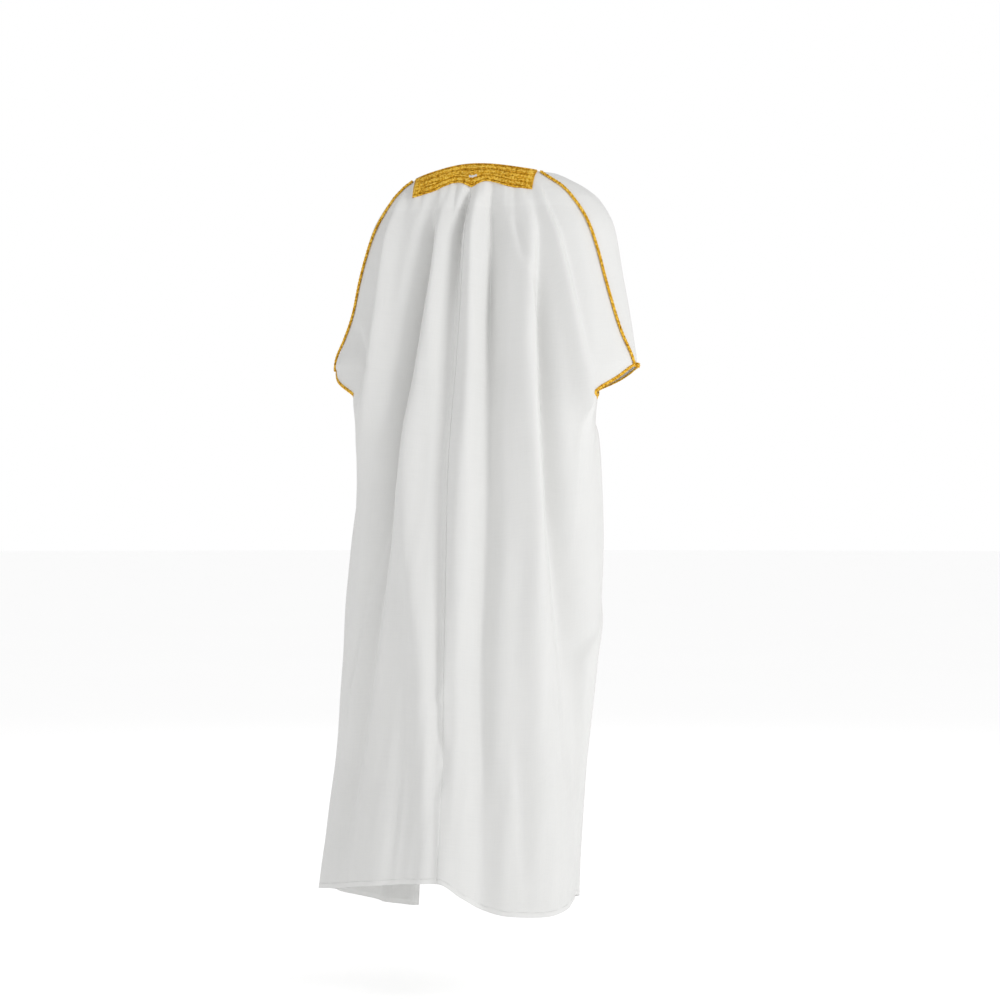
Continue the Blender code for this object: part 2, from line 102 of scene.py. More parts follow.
# The overarm seam, as an angle from straight back, from the neck to the sleeve's corner.
SEAM_LEVELS = (0.010, -0.030, -0.110, -0.300, -0.376, -0.428)
SEAM_ANGLES = (62.0, 65.0, 71.0, 77.8, 83.6, 90.0)

# The centre back seam, as a distance to the wearer's left, and the two front edges.
CENTRE_LEVELS = (0.002, -0.135, -0.290, -0.450, -0.620, -1.350)
CENTRE_OFFSETS = (0.000, 0.005, 0.014, 0.022, 0.027, 0.022)
EDGE_LEVELS = (0.000, -0.020, -0.050, -0.090, -0.150, -0.300, -0.600, -1.000, -1.420)
EDGE_ANGLES_RIGHT = (96.0, 102.0, 118.0, 131.0, 141.0, 151.0, 158.0, 166.0, 172.0)
EDGE_ANGLES_LEFT = (96.0, 102.0, 118.0, 131.0, 141.0, 151.0, 156.0, 150.0, 141.0)

# The hem's level all round, from the right front edge over the back to the left one.
HEM_ANGLES = (-180, -120, -90, -75, -55, -42, -30, -19, -7.5, 30, 60, 90, 130, 180)
HEM_LEVELS = (
    -1.395, -1.385, -1.362, -1.374, -1.381, -1.378, -1.366, -1.343, -1.318, -1.330, -1.348,
    -1.368, -1.412, -1.420,
)

# Folds down the back: name, distance to the wearer's left, height (a trough is below zero)
# and half width, all in millimetres, at each of these levels.
FOLD_LEVELS = (-0.03, -0.14, -0.30, -0.60, -0.95, -1.35)
FOLDS = (
    ("left_yoke_crest", (132, 153, 170, 214, 214, 214), (7, 11, 11, 3, 0, 0), (9, 12, 15, 20, 20, 20)),
    ("left_long_trough", (76, 84, 113, 160, 200, 226), (0, -17, -30, -34, -20, -6),
     (14, 18, 24, 26, 26, 30)),
    ("left_back_roll", (52, 56, 70, 102, 64, 34), (2, 7, 9, 10, 11, 11), (18, 20, 24, 30, 34, 40)),
    ("seam_trough", (2, 23, 31, 44, 40, 30), (-8, -15, -12, -8, -6, -4), (9, 13, 17, 16, 13, 14)),
    ("centre_roll", (-14, -8, -8, 0, 6, -10), (5, 10, 10, 10, 6, 4), (12, 15, 17, 20, 24, 30)),
    ("centre_trough", (-40, -53, -50, -54, -46, -62), (-4, -16, -22, -20, -16, -14),
     (16, 20, 22, 25, 28, 34)),
    ("right_back_roll", (-96, -112, -109, -130, -135, -160), (3, 8, 10, 11, 11, 10),
     (22, 26, 24, 26, 26, 32)),
    ("right_trough", (-112, -134, -148, -165, -196, -214), (0, -5, -14, -18, -16, -10),
     (12, 14, 16, 20, 24, 28)),
    ("right_yoke_crest", (-121, -157, -190, -236, -236, -236), (8, 10, 10, 3, 0, 0),
     (9, 13, 16, 20, 20, 20)),
    ("right_hip_roll", (-226, -226, -226, -226, -226, -226), (0, 0, 2, 6, 4, 0), (18, 18, 18, 20, 20, 20)),
)

# Folds round the sides and fronts: name, angle from straight back at the chest and at the
# hem, height in millimetres at both, and half width in degrees.
SIDE_FOLDS = (
    ("right_side_trough", -97, -92, 0, -13, 7),
    ("right_front_roll", -110, -106, 5, 13, 8),
    ("right_front_trough", -124, -123, -12, -19, 7),
    ("right_chest_roll", -137, -139, 7, 12, 7),
    ("right_edge_trough", -147, -155, -8, -14, 5),
    ("left_side_trough", 98, 93, 0, -12, 6),
    ("left_front_roll", 109, 104, 5, 12, 6),
    ("left_front_trough", 123, 114, -12, -18, 6),
    ("left_chest_roll", 137, 126, 8, 12, 6),
    ("left_edge_trough", 148, 136, -6, -9, 4),
)
FOLD_STRENGTH = 1.45          # deepens the folds down the back
FOLD_SHARPNESS = 0.86         # and narrows them
FOLDS_HELD = -0.028           # the yoke holds the cloth flat down to here
FOLDS_FREE = -0.075           # and the folds have their full height from here
BACK_END = (72.0, 100.0)      # the back's folds fade out between these angles
SIDE_FOLD_TOP = -0.10         # where the side folds start, and their chest and hem levels
SIDE_FOLD_CHEST = -0.30
SIDE_FOLD_HEM = -1.40

# ---------------------------------------------------------------- fine creases

# Sharp creases down the back: name; levels in metres; distance to the wearer's left and
# height in millimetres at each; half widths in millimetres towards the right and left.
CREASES = (
    ("left_long_edge", (-.40, -.52, -.73, -.95, -1.10), (118, 138, 184, 222, 240), (0, 5, 7, 8, 0), 32, 5),
    ("left_trough_edge", (-.09, -.144, -.30, -.50), (80, 88, 119, 158), (0, -5, -6, 0), 8, 16),
    ("left_crest_edge", (-.045, -.142, -.274, -.455), (129, 150, 164, 196), (0, 3, 4, 0), 13, 7),
    ("left_inner_dart", (-.05, -.09, -.20, -.33), (52, 58, 72, 84), (0, -3, -3, 0), 6, 10),
    ("seam_dart", (-.05, -.10, -.20, -.37, -.47), (5, 18, 30, 43, 45), (0, -4, -4, -3, 0), 7, 10),
    ("seam_step", (-.45, -.58, -.80, -.95, -1.02), (30, 26, 25, 27, 30), (0, 2.6, 2.4, 2.2, 0), 16, 4),
    ("seam_wrinkle", (-.955, -.975, -.985, -1.00), (33, 30, 30, 28), (0, 2.2, 2.2, 0), 8, 8),
    ("seam_dimple", (-1.01, -1.05, -1.10, -1.14, -1.18), (37, 31, 22, 26, 31), (0, -4, -6, -4, 0), 10, 8),
    ("low_seam_edge", (-1.17, -1.22, -1.30, -1.345), (26, 24, 21, 20), (0, 2, 2, 1), 18, 4),
    ("centre_dart", (-.06, -.12, -.25, -.40), (-36, -46, -47, -44), (0, -4, -4, 0), 9, 8),
    ("centre_low_edge", (-.52, -.65, -.85, -1.05, -1.20), (-33, -30, -28, -36, -52), (0, 3, 3, 2, 0), 7, 18),
    ("right_short_dart", (-.09, -.13, -.17, -.21), (-84, -92, -101, -108), (0, -4, -4, 0), 6, 7),
    ("right_long_dart", (-.16, -.20, -.31, -.44, -.63, -.90), (-108, -119, -144, -147, -160, -176),
     (0, -5, -6, -5, -4, 0), 12, 8),
    ("right_crest_edge", (-.045, -.15, -.26, -.36, -.46), (-128, -159, -189, -214, -234),
     (0, 3, 4, 3, 0), 8, 14),
    ("right_low_edge", (-.85, -1.00, -1.20, -1.34), (-168, -174, -182, -190), (0, 3, 4, 2), 20, 7),
    ("right_low_dart", (-1.00, -1.12, -1.25, -1.36), (-104, -112, -122, -130), (0, -3, -4, -2), 12, 9),
    ("left_hem_pleat", (-1.00, -1.10, -1.25, -1.34), (96, 104, 112, 116), (0, -3, -4, -2), 10, 14),
    ("left_hip_line", (-1.00, -1.05, -1.15, -1.21), (199, 203, 200, 194), (0, 1.6, 1.6, 0), 5, 3),
)

# Creases over the sides, sleeves and fronts, by their angle from straight back; half
# widths in degrees towards the wearer's right and left.
SIDE_CREASES = (
    ("right_layer_edge", (-.80, -.86, -.92, -1.00, -1.10, -1.20, -1.31),
     (-92, -84, -76, -79, -83, -81, -88), (0, 6, 8, 8, 7, 6, 0), 13, 2.6),
    ("left_sleeve_fold", (-.285, -.312, -.366, -.392), (71, 68, 59.5, 56), (0, -3.5, -3.5, 0), 2.2, 4.0),
    ("left_sleeve_drag", (-.15, -.22, -.32, -.376), (84, 87, 84, 80), (0, 3, 4, 2), 7, 4),
    ("left_sleeve_front", (-.14, -.22, -.33, -.40), (104, 101, 97, 95), (0, -4, -6, -3), 4, 6),
    ("left_underarm", (-.46, -.50, -.58, -.74), (84, 80, 76, 70), (0, -6, -5, 0), 4, 6),
    ("left_underarm_front", (-.46, -.50, -.60, -.78), (97, 101, 108, 114), (0, -6, -5, 0), 6, 4),
    ("right_sleeve_drag", (-.15, -.22, -.32, -.376), (-84, -86, -84, -80), (0, 2.5, 3, 2), 4, 7),
    ("right_sleeve_front", (-.14, -.22, -.33, -.40), (-105, -101, -97, -94), (0, -4, -6, -3), 6, 4),
    ("right_underarm", (-.46, -.50, -.58, -.72), (-84, -81, -78, -74), (0, -5, -4, 0), 6, 4),
    ("right_underarm_front", (-.46, -.50, -.60, -.78), (-97, -102, -109, -116), (0, -6, -5, 0), 4, 6),
    ("right_chest_drag", (-.09, -.16, -.28, -.40), (-118, -123, -130, -134), (0, 4, 5, 0), 5, 3.5),
    ("left_chest_drag", (-.09, -.16, -.27, -.42), (119, 124, 131, 136), (0, 4, 5, 0), 3.5, 5),
    ("right_thigh_edge", (-.58, -.72, -.98, -1.22), (-131, -130, -128, -131), (0, 5, 6, 0), 6, 2.8),
    ("left_thigh_edge", (-.55, -.76, -1.02, -1.26), (128, 124, 120, 119), (0, 5, 6, 0), 2.8, 6),
    ("right_front_dart", (-.80, -.95, -1.15, -1.36), (-146, -147, -149, -151), (0, -4, -6, -3), 3, 4),
    ("left_front_dart", (-.84, -.98, -1.16, -1.38), (131, 130, 129, 128), (0, -4, -6, -3), 4, 3),
    ("left_side_drag", (-.90, -1.02, -1.18, -1.32), (84, 82, 80, 80), (0, 3, 4, 0), 5, 3),
)

# Small gathers that start under the yoke: distance to the wearer's left at the yoke and
# where the gather has gone, in millimetres; its length in metres; height and half width.
GATHERS = (
    (121, 131, 0.060, -2.0, 4.5),
    (108, 117, 0.085, 1.8, 5.5),
    (95, 103, 0.075, -2.6, 4.5),
    (80, 86, 0.055, 1.5, 5.0),
    (64, 71, 0.095, -2.6, 5.0),
    (44, 51, 0.070, -1.8, 4.5),
    (28, 36, 0.120, -3.0, 5.0),
    (12, 24, 0.100, 2.0, 5.5),
    (-7, -9, 0.070, -2.0, 4.5),
    (-24, -29, 0.080, 1.6, 5.0),
    (-40, -47, 0.160, -3.2, 6.0),
    (-61, -70, 0.090, 1.8, 5.0),
    (-80, -91, 0.120, -2.6, 5.0),
    (-99, -111, 0.075, -2.0, 4.5),
    (-114, -126, 0.060, 1.6, 4.5),
)
GATHER_TOP = -0.026
GATHER_RISE = 0.016           # a gather is at its full height this far down

# The cloth's slight unevenness between its folds: waves of these widths and heights.
CRUMPLE_WAVES = 26
CRUMPLE_HEIGHT = 0.00095
CRUMPLE_WIDE = (0.030, 0.110)
CRUMPLE_TALL = (0.12, 0.60)
METRES_A_DEGREE = 0.0045      # round the cloth

SEED = 11
MILLIMETRE = 0.001
RIGHT, LEFT = -1, 1
SIDE_NAMES = {RIGHT: "right", LEFT: "left"}

# ---------------------------------------------------------------- grids and clearances

BACK_COLUMNS = 84             # from the centre seam to the sleeve opening
ARM_COLUMNS = 30              # over the sleeve opening, on each panel
FRONT_COLUMNS = 62            # from the sleeve opening to the front edge
UPPER_ROWS = 112              # above, across and below the opening
SLIT_ROWS = 3
LOWER_ROWS = 168
HEM_ROWS = 9
HEM_ROWS_DEPTH = 1.35         # the hem's own rows, in depths of the hem
CROWDING = 1.25               # rows and columns crowd towards the neck, seam and edges
SEAM_GAP = 0.0004
HEM_DEPTH = 0.009
EDGE_DEPTH = 0.010
SEAM_ALLOWANCE = 0.011
TRIM_CLEARANCE = 0.0003

# Heights of the cloth's small relief.
TURNED_EDGE = 0.00045
STITCH_GROOVE = 0.00025
HEM_PUCKER = 0.00035
EDGE_RIPPLE = 0.0006
CENTRE_RIPPLE = 0.0004
CENTRE_GROOVE = 0.0004
SIDE_GROOVE = 0.0006
DOUBLED_CLOTH = 0.0005
GROOVE_WIDTH = 0.0014
PUCKER_WIDTH = 0.010


def number_value(name, description, default, **kind):
    return bpy.props.FloatProperty(name=name, description=description, default=default, **kind)


def length_value(name, description, default):
    return number_value(name, description, default, unit="LENGTH")


def colour_value(name, description, default):
    return bpy.props.FloatVectorProperty(
        name=name, description=description, default=default, subtype="COLOR", size=3)


class RobeSizes(bpy.types.PropertyGroup):
    """Sizes of the cloth, the trims and the stitches."""

    cloth: length_value("Cloth", "Thickness of the robe's cloth", 0.0011)
    yoke_cloth: length_value("Yoke backing", "Thickness of the yoke's backing", 0.0010)
    yoke_cord: length_value("Couched cord", "Radius of the yoke's couched cords", 0.00088)
    piping: length_value("Piping", "Radius of the cord over the shoulders", 0.0029)
    braid: length_value("Braid", "Half width of the sleeve braid", 0.0033)
    stitch: length_value("Stitch", "Length of a hem stitch", 0.0026)
    stitch_pitch: length_value("Stitch pitch", "Distance from stitch to stitch", 0.0041)


class RobeColours(bpy.types.PropertyGroup):
    """Colours of the finishes."""

    cloth: colour_value("Cloth", "The white cloth", (0.76, 0.76, 0.748))
    gold: colour_value("Gold thread", "The lit side of the gold thread", (0.86, 0.48, 0.03))
    # Painted shade: this darker gold stands for the shade that falls between the gold threads.
    painted_gold_shade: colour_value("Gold shade", "Between the gold threads", (0.40, 0.18, 0.008))
    floor: colour_value("Floor", "The pale floor", (0.90, 0.90, 0.90))


class RobeStudio(bpy.types.PropertyGroup):
    """Camera and lights."""

    azimuth: number_value(
        "Azimuth", "Where the camera stands round the robe, 0 in front", math.radians(195.0), subtype="ANGLE")
    distance: length_value("Distance", "Camera to robe", 4.6)
    height: length_value("Height", "Camera above the robe's origin", -0.627)
    lens: number_value("Lens", "Focal length in millimetres", 87.2)
    key: number_value("Key light", "Power of the main softbox", 62.0, unit="POWER")
    fill: number_value("Fill light", "Power of the fill", 8.0, unit="POWER")
    room: number_value("Room", "Brightness of the white room", 0.59)


# ---------------------------------------------------------------- curves through tables


def along(stations, values, at):
    """The values at stations, on a smooth curve that never overshoots its rows."""
    stations, values = np.asarray(stations, float), np.asarray(values, float)
    if stations[0] > stations[-1]:
        stations, values = stations[::-1], values[::-1]
    at = np.clip(at, stations[0], stations[-1])
    spans = np.diff(stations)
    slopes = np.diff(values) / spans
    before, after = slopes[:-1], slopes[1:]
    same_way = before * after > 0
    tangents = np.zeros(len(stations))
    tangents[1:-1][same_way] = (2 * before * after)[same_way] / (before + after)[same_way]
    i = np.clip(np.searchsorted(stations, at, side="right") - 1, 0, len(spans) - 1)
    t = (at - stations[i]) / spans[i]
    return (
        (2 * t**3 - 3 * t**2 + 1) * values[i]
        + (t**3 - 2 * t**2 + t) * spans[i] * tangents[i]
        + (3 * t**2 - 2 * t**3) * values[i + 1]
        + (t**3 - t**2) * spans[i] * tangents[i + 1]
    )


def smooth_step(low, high, at):
    t = np.clip((at - low) / (high - low), 0.0, 1.0)
    return t * t * (3 - 2 * t)


def bell(distance, half_width):
    return np.exp(-((distance / half_width) ** 2))


def lopsided(distance, right_width, left_width):
    """A bell with its own half width on each side."""
    return bell(distance, np.where(distance < 0, right_width, left_width))


# ---------------------------------------------------------------- the draped surface


def section(level):
    """The sizes of the cross section at a level."""
    columns = list(zip(*SECTIONS))
    return {name: along(columns[0], column, level) for name, column in zip(SECTION_COLUMNS, columns)}


def tuck(angle, level):
    """The share of its half width by which the side is drawn in below the sleeve."""
    from_side = np.minimum(np.abs(np.abs(angle) - 90.0), PIT_ANGLE)
    return along(TUCK_LEVELS, TUCK_SHARES, level) * np.cos(np.pi / 2 * from_side / PIT_ANGLE)


def back_folds(x, level):
    total = np.zeros_like(x)
    for _, offsets, heights, half_widths in FOLDS:
        offset = along(FOLD_LEVELS, offsets, level) * MILLIMETRE
        height = along(FOLD_LEVELS, heights, level) * MILLIMETRE * FOLD_STRENGTH
        half_width = along(FOLD_LEVELS, half_widths, level) * MILLIMETRE * FOLD_SHARPNESS
        total += height * bell(x - offset, half_width)
    return total


def side_folds(angle, level):
    total = np.zeros_like(level)
    for _, chest_angle, hem_angle, chest_height, hem_height, half_width in SIDE_FOLDS:
        share = (SIDE_FOLD_CHEST - level) / (SIDE_FOLD_CHEST - SIDE_FOLD_HEM)
        centre = chest_angle + (hem_angle - chest_angle) * np.maximum(share, 0.0)
        height = chest_height + (hem_height - chest_height) * smooth_step(0.0, 1.0, share)
        fade = smooth_step(SIDE_FOLD_TOP, SIDE_FOLD_CHEST, level)
        total += height * MILLIMETRE * fade * bell(angle - centre, half_width)
    return total


def gather_creases():
    """The gathers under the yoke, as rows of the crease table."""
    for start, end, reach, height, half_width in GATHERS:
        levels = (GATHER_TOP, GATHER_TOP - GATHER_RISE, GATHER_TOP - reach / 2, GATHER_TOP - reach)
        offsets = (start, start + (end - start) * 0.2, (start + end) / 2, end)
        yield "gather", levels, offsets, (0, height, height * 0.7, 0), half_width, half_width * 1.3


def creases(rows, place, level):
    """The height of a table's creases where the place, in the table's unit, is at a level."""
    total = np.zeros_like(level)
    for _, levels, places, heights, right_width, left_width in rows:
        height = along(levels, heights, level)
        inside = (level <= max(levels)) & (level >= min(levels))
        distance = place - along(levels, places, level)
        total += height * inside * lopsided(distance, right_width, left_width)
    return total * MILLIMETRE


def crumple(angle, level):
    """A slight unevenness, longer down the cloth than across it."""
    draw = np.random.RandomState(SEED)
    across = angle * METRES_A_DEGREE
    total = np.zeros_like(level)
    for _ in range(CRUMPLE_WAVES):
        wide = draw.uniform(*CRUMPLE_WIDE)
        tall = draw.uniform(*CRUMPLE_TALL)
        lean = draw.uniform(-1.0, 1.0)
        phase = draw.uniform(0.0, 2 * np.pi)
        total += wide * np.sin(2 * np.pi * (across / wide + lean * level / tall) + phase)
    return total / np.mean(CRUMPLE_WIDE) / math.sqrt(CRUMPLE_WAVES) * smooth_step(-0.03, -0.12, level)


def drape(angle, level, below=False):
    """Points of the hanging cloth. The angle is in degrees from straight back, positive
    towards the wearer's left; below says that the points hang under the sleeve."""
    angle, level = np.broadcast_arrays(np.asarray(angle, float), np.asarray(level, float))
    size = section(level)
    turn = np.radians(angle)
    across, towards_back = np.sin(turn), np.cos(turn)
    half_width = np.where(across > 0, size["left"], size["right"])
    depth = np.where(towards_back > 0, size["back"], size["front"])
    power = size["square"] * np.where(towards_back > 0, 1.0, FRONT_FLATNESS)
    radius = (
        (np.abs(across) / half_width) ** power + (np.abs(towards_back) / depth) ** power
    ) ** (-1 / power)
    radius = radius * (1 - tuck(angle, level) * below)
    x = radius * across + size["centre_x"]
    on_back = 1 - smooth_step(*BACK_END, np.abs(angle))
    folds = back_folds(x, level) * smooth_step(FOLDS_HELD, FOLDS_FREE, level)
    folds += creases((*CREASES, *gather_creases()), x / MILLIMETRE, level)
    radius = radius + folds * on_back
    radius = radius + side_folds(angle, level) + creases(SIDE_CREASES, angle, level)
    radius = radius + crumple(angle, level) * CRUMPLE_HEIGHT
    return np.stack(
        [size["centre_x"] + radius * across, size["centre_y"] + radius * towards_back, level], axis=-1
    )


def unit(vectors):
    return vectors / np.maximum(np.linalg.norm(vectors, axis=-1, keepdims=True), 1e-12)


def cloth_normal(angle, level, below=False):
    """The outward direction of the cloth."""
    step_angle, step_level = 0.4, 0.0015
    across = drape(angle + step_angle, level, below) - drape(angle - step_angle, level, below)
    down = drape(angle, level - step_level, below) - drape(angle, level + step_level, below)
    return unit(np.cross(across, down))


def raised(angle, level, distance, below=False):
    """Points moved out of the cloth by a distance."""
    return drape(angle, level, below) + cloth_normal(angle, level, below) * distance


def neck_level(angle):
    drop = np.where(angle > 0, NECK_DROP_LEFT, NECK_DROP_RIGHT)
    return NECK_RISE - drop * np.minimum(np.abs(angle) / NECK_HALF_ANGLE, 1.0) ** 2


def hem_level(angle):
    return along(HEM_ANGLES, HEM_LEVELS, angle)


def centre_angle(level):
    size = section(level)
    offset = along(CENTRE_LEVELS, CENTRE_OFFSETS, level) - size["centre_x"]
    return np.degrees(np.arctan2(offset, size["back"]))


def seam_angle(level):
    return along(SEAM_LEVELS, SEAM_ANGLES, level)


def edge_angle(side, level):
    return along(EDGE_LEVELS, EDGE_ANGLES_LEFT if side == LEFT else EDGE_ANGLES_RIGHT, level)


def opening_share(angle):
    """0 at an end of the sleeve opening, 1 over the side seam."""
    return np.maximum(0.0, 1 - np.abs(np.abs(angle) - 90.0) / PIT_ANGLE)


def pit_level(angle):
    return PIT_LEVEL + FRONT_PIT_RISE * (np.abs(angle) > 90.0)


def opening_top(angle):
    """The upper rim's level: straight at the back and rounder at the front."""
    pit = pit_level(angle) + PIT_HALF_HEIGHT
    share = opening_share(angle)
    share = np.where(np.abs(angle) > 90.0, 1 - (1 - share) ** 2, share)
    return pit + (CORNER_LEVEL - pit) * share


def opening_bottom(angle):
    pit = pit_level(angle) - PIT_HALF_HEIGHT
    return pit + (UNDERARM_LEVEL - pit) * opening_share(angle)


def seam_shift(level):
    """Half a seam's gap, as an angle in degrees."""
    return np.degrees(SEAM_GAP / 2 / section(level)["back"])


# ---------------------------------------------------------------- mesh helpers


def robe(kind):
    return getattr(bpy.context.scene, "robe_" + kind)


def deselect():
    if bpy.context.object and bpy.context.object.mode != "OBJECT":
        bpy.ops.object.mode_set(mode="OBJECT")
    bpy.ops.object.select_all(action="DESELECT")


def only(obj):
    deselect()
    obj.select_set(True)
    bpy.context.view_layer.objects.active = obj


def distance_along(points, axis=0):
    """The distance of every point from the first one, along one axis of the array."""
    steps = np.linalg.norm(np.diff(points, axis=axis), axis=-1)
    start = np.zeros_like(steps.take([0], axis=axis))
    return np.concatenate([start, np.cumsum(steps, axis=axis)], axis=axis)


def grid_object(name, columns, rows):
    """A new grid with its column and row numbers for every vertex."""
    deselect()
    bpy.ops.mesh.primitive_grid_add(x_subdivisions=columns, y_subdivisions=rows, size=1.0)
    obj = bpy.context.object
    obj.name = obj.data.name = name
    flat = np.empty(len(obj.data.vertices) * 3)
    obj.data.vertices.foreach_get("co", flat)
    flat = flat.reshape(-1, 3)
    column = np.rint((flat[:, 0] + 0.5) * columns).astype(int)
    row = np.rint((0.5 - flat[:, 1]) * rows).astype(int)
    return obj, column, row


def shape_grid(obj, column, row, points, mirrored):
    """Moves the grid's vertices to points[row, column], with the arc lengths as its UVs."""
    mesh = obj.data
    mesh.vertices.foreach_set("co", points[row, column].ravel())
    if mirrored:
        mesh.flip_normals()
    u, v = distance_along(points, axis=1), distance_along(points, axis=0)
    corner = np.empty(len(mesh.loops), int)
    mesh.loops.foreach_get("vertex_index", corner)
    uv = np.stack([u[row, column], v[row, column]], axis=-1)[corner]
    mesh.uv_layers.active.data.foreach_set("uv", uv.ravel())
    mesh.update()


def relief(points, height):
    """The grid's points moved out along its own normals by a height at each."""
    across = np.gradient(points, axis=1)
    down = np.gradient(points, axis=0)
    return points + unit(np.cross(across, down)) * height[..., None]


def add_value(obj, name, values):
    layer = obj.data.attributes.new(name, "FLOAT", "POINT")
    layer.data.foreach_set("value", values.astype(np.float32))


def drop_faces(obj, chosen):
    """Deletes the faces chosen by a mask, in edit mode."""
    only(obj)
    bpy.ops.object.mode_set(mode="EDIT")
    bpy.ops.mesh.select_mode(type="FACE")
    bpy.ops.mesh.select_all(action="DESELECT")
    bpy.ops.object.mode_set(mode="OBJECT")
    obj.data.polygons.foreach_set("select", chosen)
    bpy.ops.object.mode_set(mode="EDIT")
    bpy.ops.mesh.delete(type="FACE")
    bpy.ops.object.mode_set(mode="OBJECT")


def face_cells(obj, column, row):
    """The lowest column and row number of each face."""
    corners = np.empty(len(obj.data.loops), int)
    obj.data.loops.foreach_get("vertex_index", corners)
    corners = corners.reshape(-1, 4)
    return column[corners].min(axis=1), row[corners].min(axis=1)


def thicken(obj, thickness):
    """Makes the sheet a wall with its middle on the sheet, and shades it smooth."""
    only(obj)
    wall = obj.modifiers.new("Wall", "SOLIDIFY")
    wall.thickness = thickness
    wall.offset = 0.0
    bpy.ops.object.modifier_apply(modifier=wall.name)
    bpy.ops.object.shade_smooth_by_angle(angle=math.radians(50))


def finish_piece(obj, finish, slot, *nodes):
    """Gives a piece its finish and its body, and hides the nodes it stands for; the slot is not used."""
    make, *words = FINISHES[finish]
    obj.data.materials.clear()
    obj.data.materials.append(bpy.data.materials.get(finish) or make(finish, *words))
    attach(obj, "root")
    if nodes:
        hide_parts(*nodes)
    return obj


def mesh_object(name, points, faces):
    mesh = bpy.data.meshes.new(name)
    mesh.from_pydata(points.tolist(), [], faces)
    obj = bpy.data.objects.new(name, mesh)
    bpy.context.scene.collection.objects.link(obj)
    return obj


def face_outward(obj):
    only(obj)
    bpy.ops.object.mode_set(mode="EDIT")
    bpy.ops.mesh.select_all(action="SELECT")
    bpy.ops.mesh.normals_make_consistent(inside=False)
    bpy.ops.object.mode_set(mode="OBJECT")


def path_frame(path, normals):
    """The directions across a path, along the cloth and out of it."""
    tangent = unit(np.gradient(path, axis=0))
    across = unit(np.cross(normals, tangent))
    return across, np.cross(tangent, across)


def tube_rings(path, normals, width, height, sides, turn=0.0):
    """Rings of an oval tube along a path: across it and out of the cloth."""
    across, out = path_frame(path, normals)
    angles = 2 * np.pi * np.arange(sides) / sides + np.reshape(turn, (-1, 1))
    width, height = np.reshape(width, (-1, 1, 1)), np.reshape(height, (-1, 1, 1))
    return (
        path[:, None]
        + across[:, None] * np.cos(angles)[..., None] * width
        + out[:, None] * np.sin(angles)[..., None] * height
    )


def tube_mesh(name, strands, closed=False, tones=None):
    """One mesh of several tubes, each an array of rings, capped unless it is closed.
    Its UVs are the length along the strand and the way round it, in metres, and each
    strand may have a tone of its own, lighter above 0."""
    faces, caps, lengths, rounds = [], [], [], []
    first = 0
    for rings in strands:
        count, sides = rings.shape[:2]
        middle = rings.mean(axis=1)
        length_at = distance_along(middle)
        girth = np.linalg.norm(rings[0, 0] - middle[0]) * 2 * np.pi
        here, side = np.meshgrid(
            np.arange(count if closed else count - 1), np.arange(sides), indexing="ij")
        after, beside = (here + 1) % count * sides, (side + 1) % sides
        quads = [here * sides + side, here * sides + beside, after + beside, after + side]
        faces.append(np.stack(quads, axis=-1).reshape(-1, 4) + first)
        last_length = length_at[-1] + np.linalg.norm(middle[-1] - middle[0])
        start = length_at[here]
        end = np.where(here + 1 < count, length_at[(here + 1) % count], last_length)
        lengths.append(np.stack([start, start, end, end], axis=-1).reshape(-1))
        near, far = side / sides * girth, (side + 1) / sides * girth
        rounds.append(np.stack([near, far, far, near], axis=-1).reshape(-1))
        if not closed:
            caps.append([first + k for k in range(sides)][::-1])
            caps.append([first + (count - 1) * sides + k for k in range(sides)])
        first += count * sides
    quads = np.concatenate(faces)
    points = np.concatenate([rings.reshape(-1, 3) for rings in strands])
    obj = mesh_object(name, points, quads.tolist() + caps)
    uv = np.zeros((len(obj.data.loops), 2))
    uv[: quads.size] = np.stack([np.concatenate(lengths), np.concatenate(rounds)], axis=-1)
    obj.data.uv_layers.new(name="UVMap").data.foreach_set("uv", uv.ravel())
    obj.data.update()
    counts = [rings.shape[0] * rings.shape[1] for rings in strands]
    add_value(obj, "tone", np.repeat(np.zeros(len(strands)) if tones is None else tones, counts))
    face_outward(obj)
    bpy.ops.object.shade_smooth_by_angle(angle=math.radians(60))
    return obj


def read_at(values, lengths, at):
    """Rows of three values, read again at other lengths."""
    return np.stack([np.interp(at, lengths, values[:, k]) for k in range(3)], axis=-1)


def even_path(points, normals, spacing, closed=False):
    """The path read again at even steps of about the spacing: its points, their lengths
    along it, their normals, and the whole length."""
    if closed:
        points, normals = np.concatenate([points, points[:1]]), np.concatenate([normals, normals[:1]])
    lengths = distance_along(points)
    at = np.linspace(0, lengths[-1], int(round(lengths[-1] / spacing)) + 1)
    if closed:
        at = at[:-1]
    return read_at(points, lengths, at), at, unit(read_at(normals, lengths, at)), lengths[-1]


# ---------------------------------------------------------------- materials

THREAD_PITCH = 0.00062        # of the cloth's weave
THREAD_DRIFT = 0.0006
FLOOR_GLOW = 0.43


def new_material(name):
    made = bpy.data.materials.new(name)
    made.use_nodes = True
    return made, made.node_tree, made.node_tree.nodes["Principled BSDF"]


def math_node(tree, operation, *values):
    """A Math node; its inputs are sockets or numbers."""
    node = tree.nodes.new("ShaderNodeMath")
    node.operation = operation
    for socket, value in zip(node.inputs, values):
        if isinstance(value, bpy.types.NodeSocket):
            tree.links.new(value, socket)
        else:
            socket.default_value = value
    return node.outputs["Value"]


def wave_node(tree, position, pitch):
    return math_node(tree, "SINE", math_node(tree, "MULTIPLY", position, 2 * math.pi / pitch))


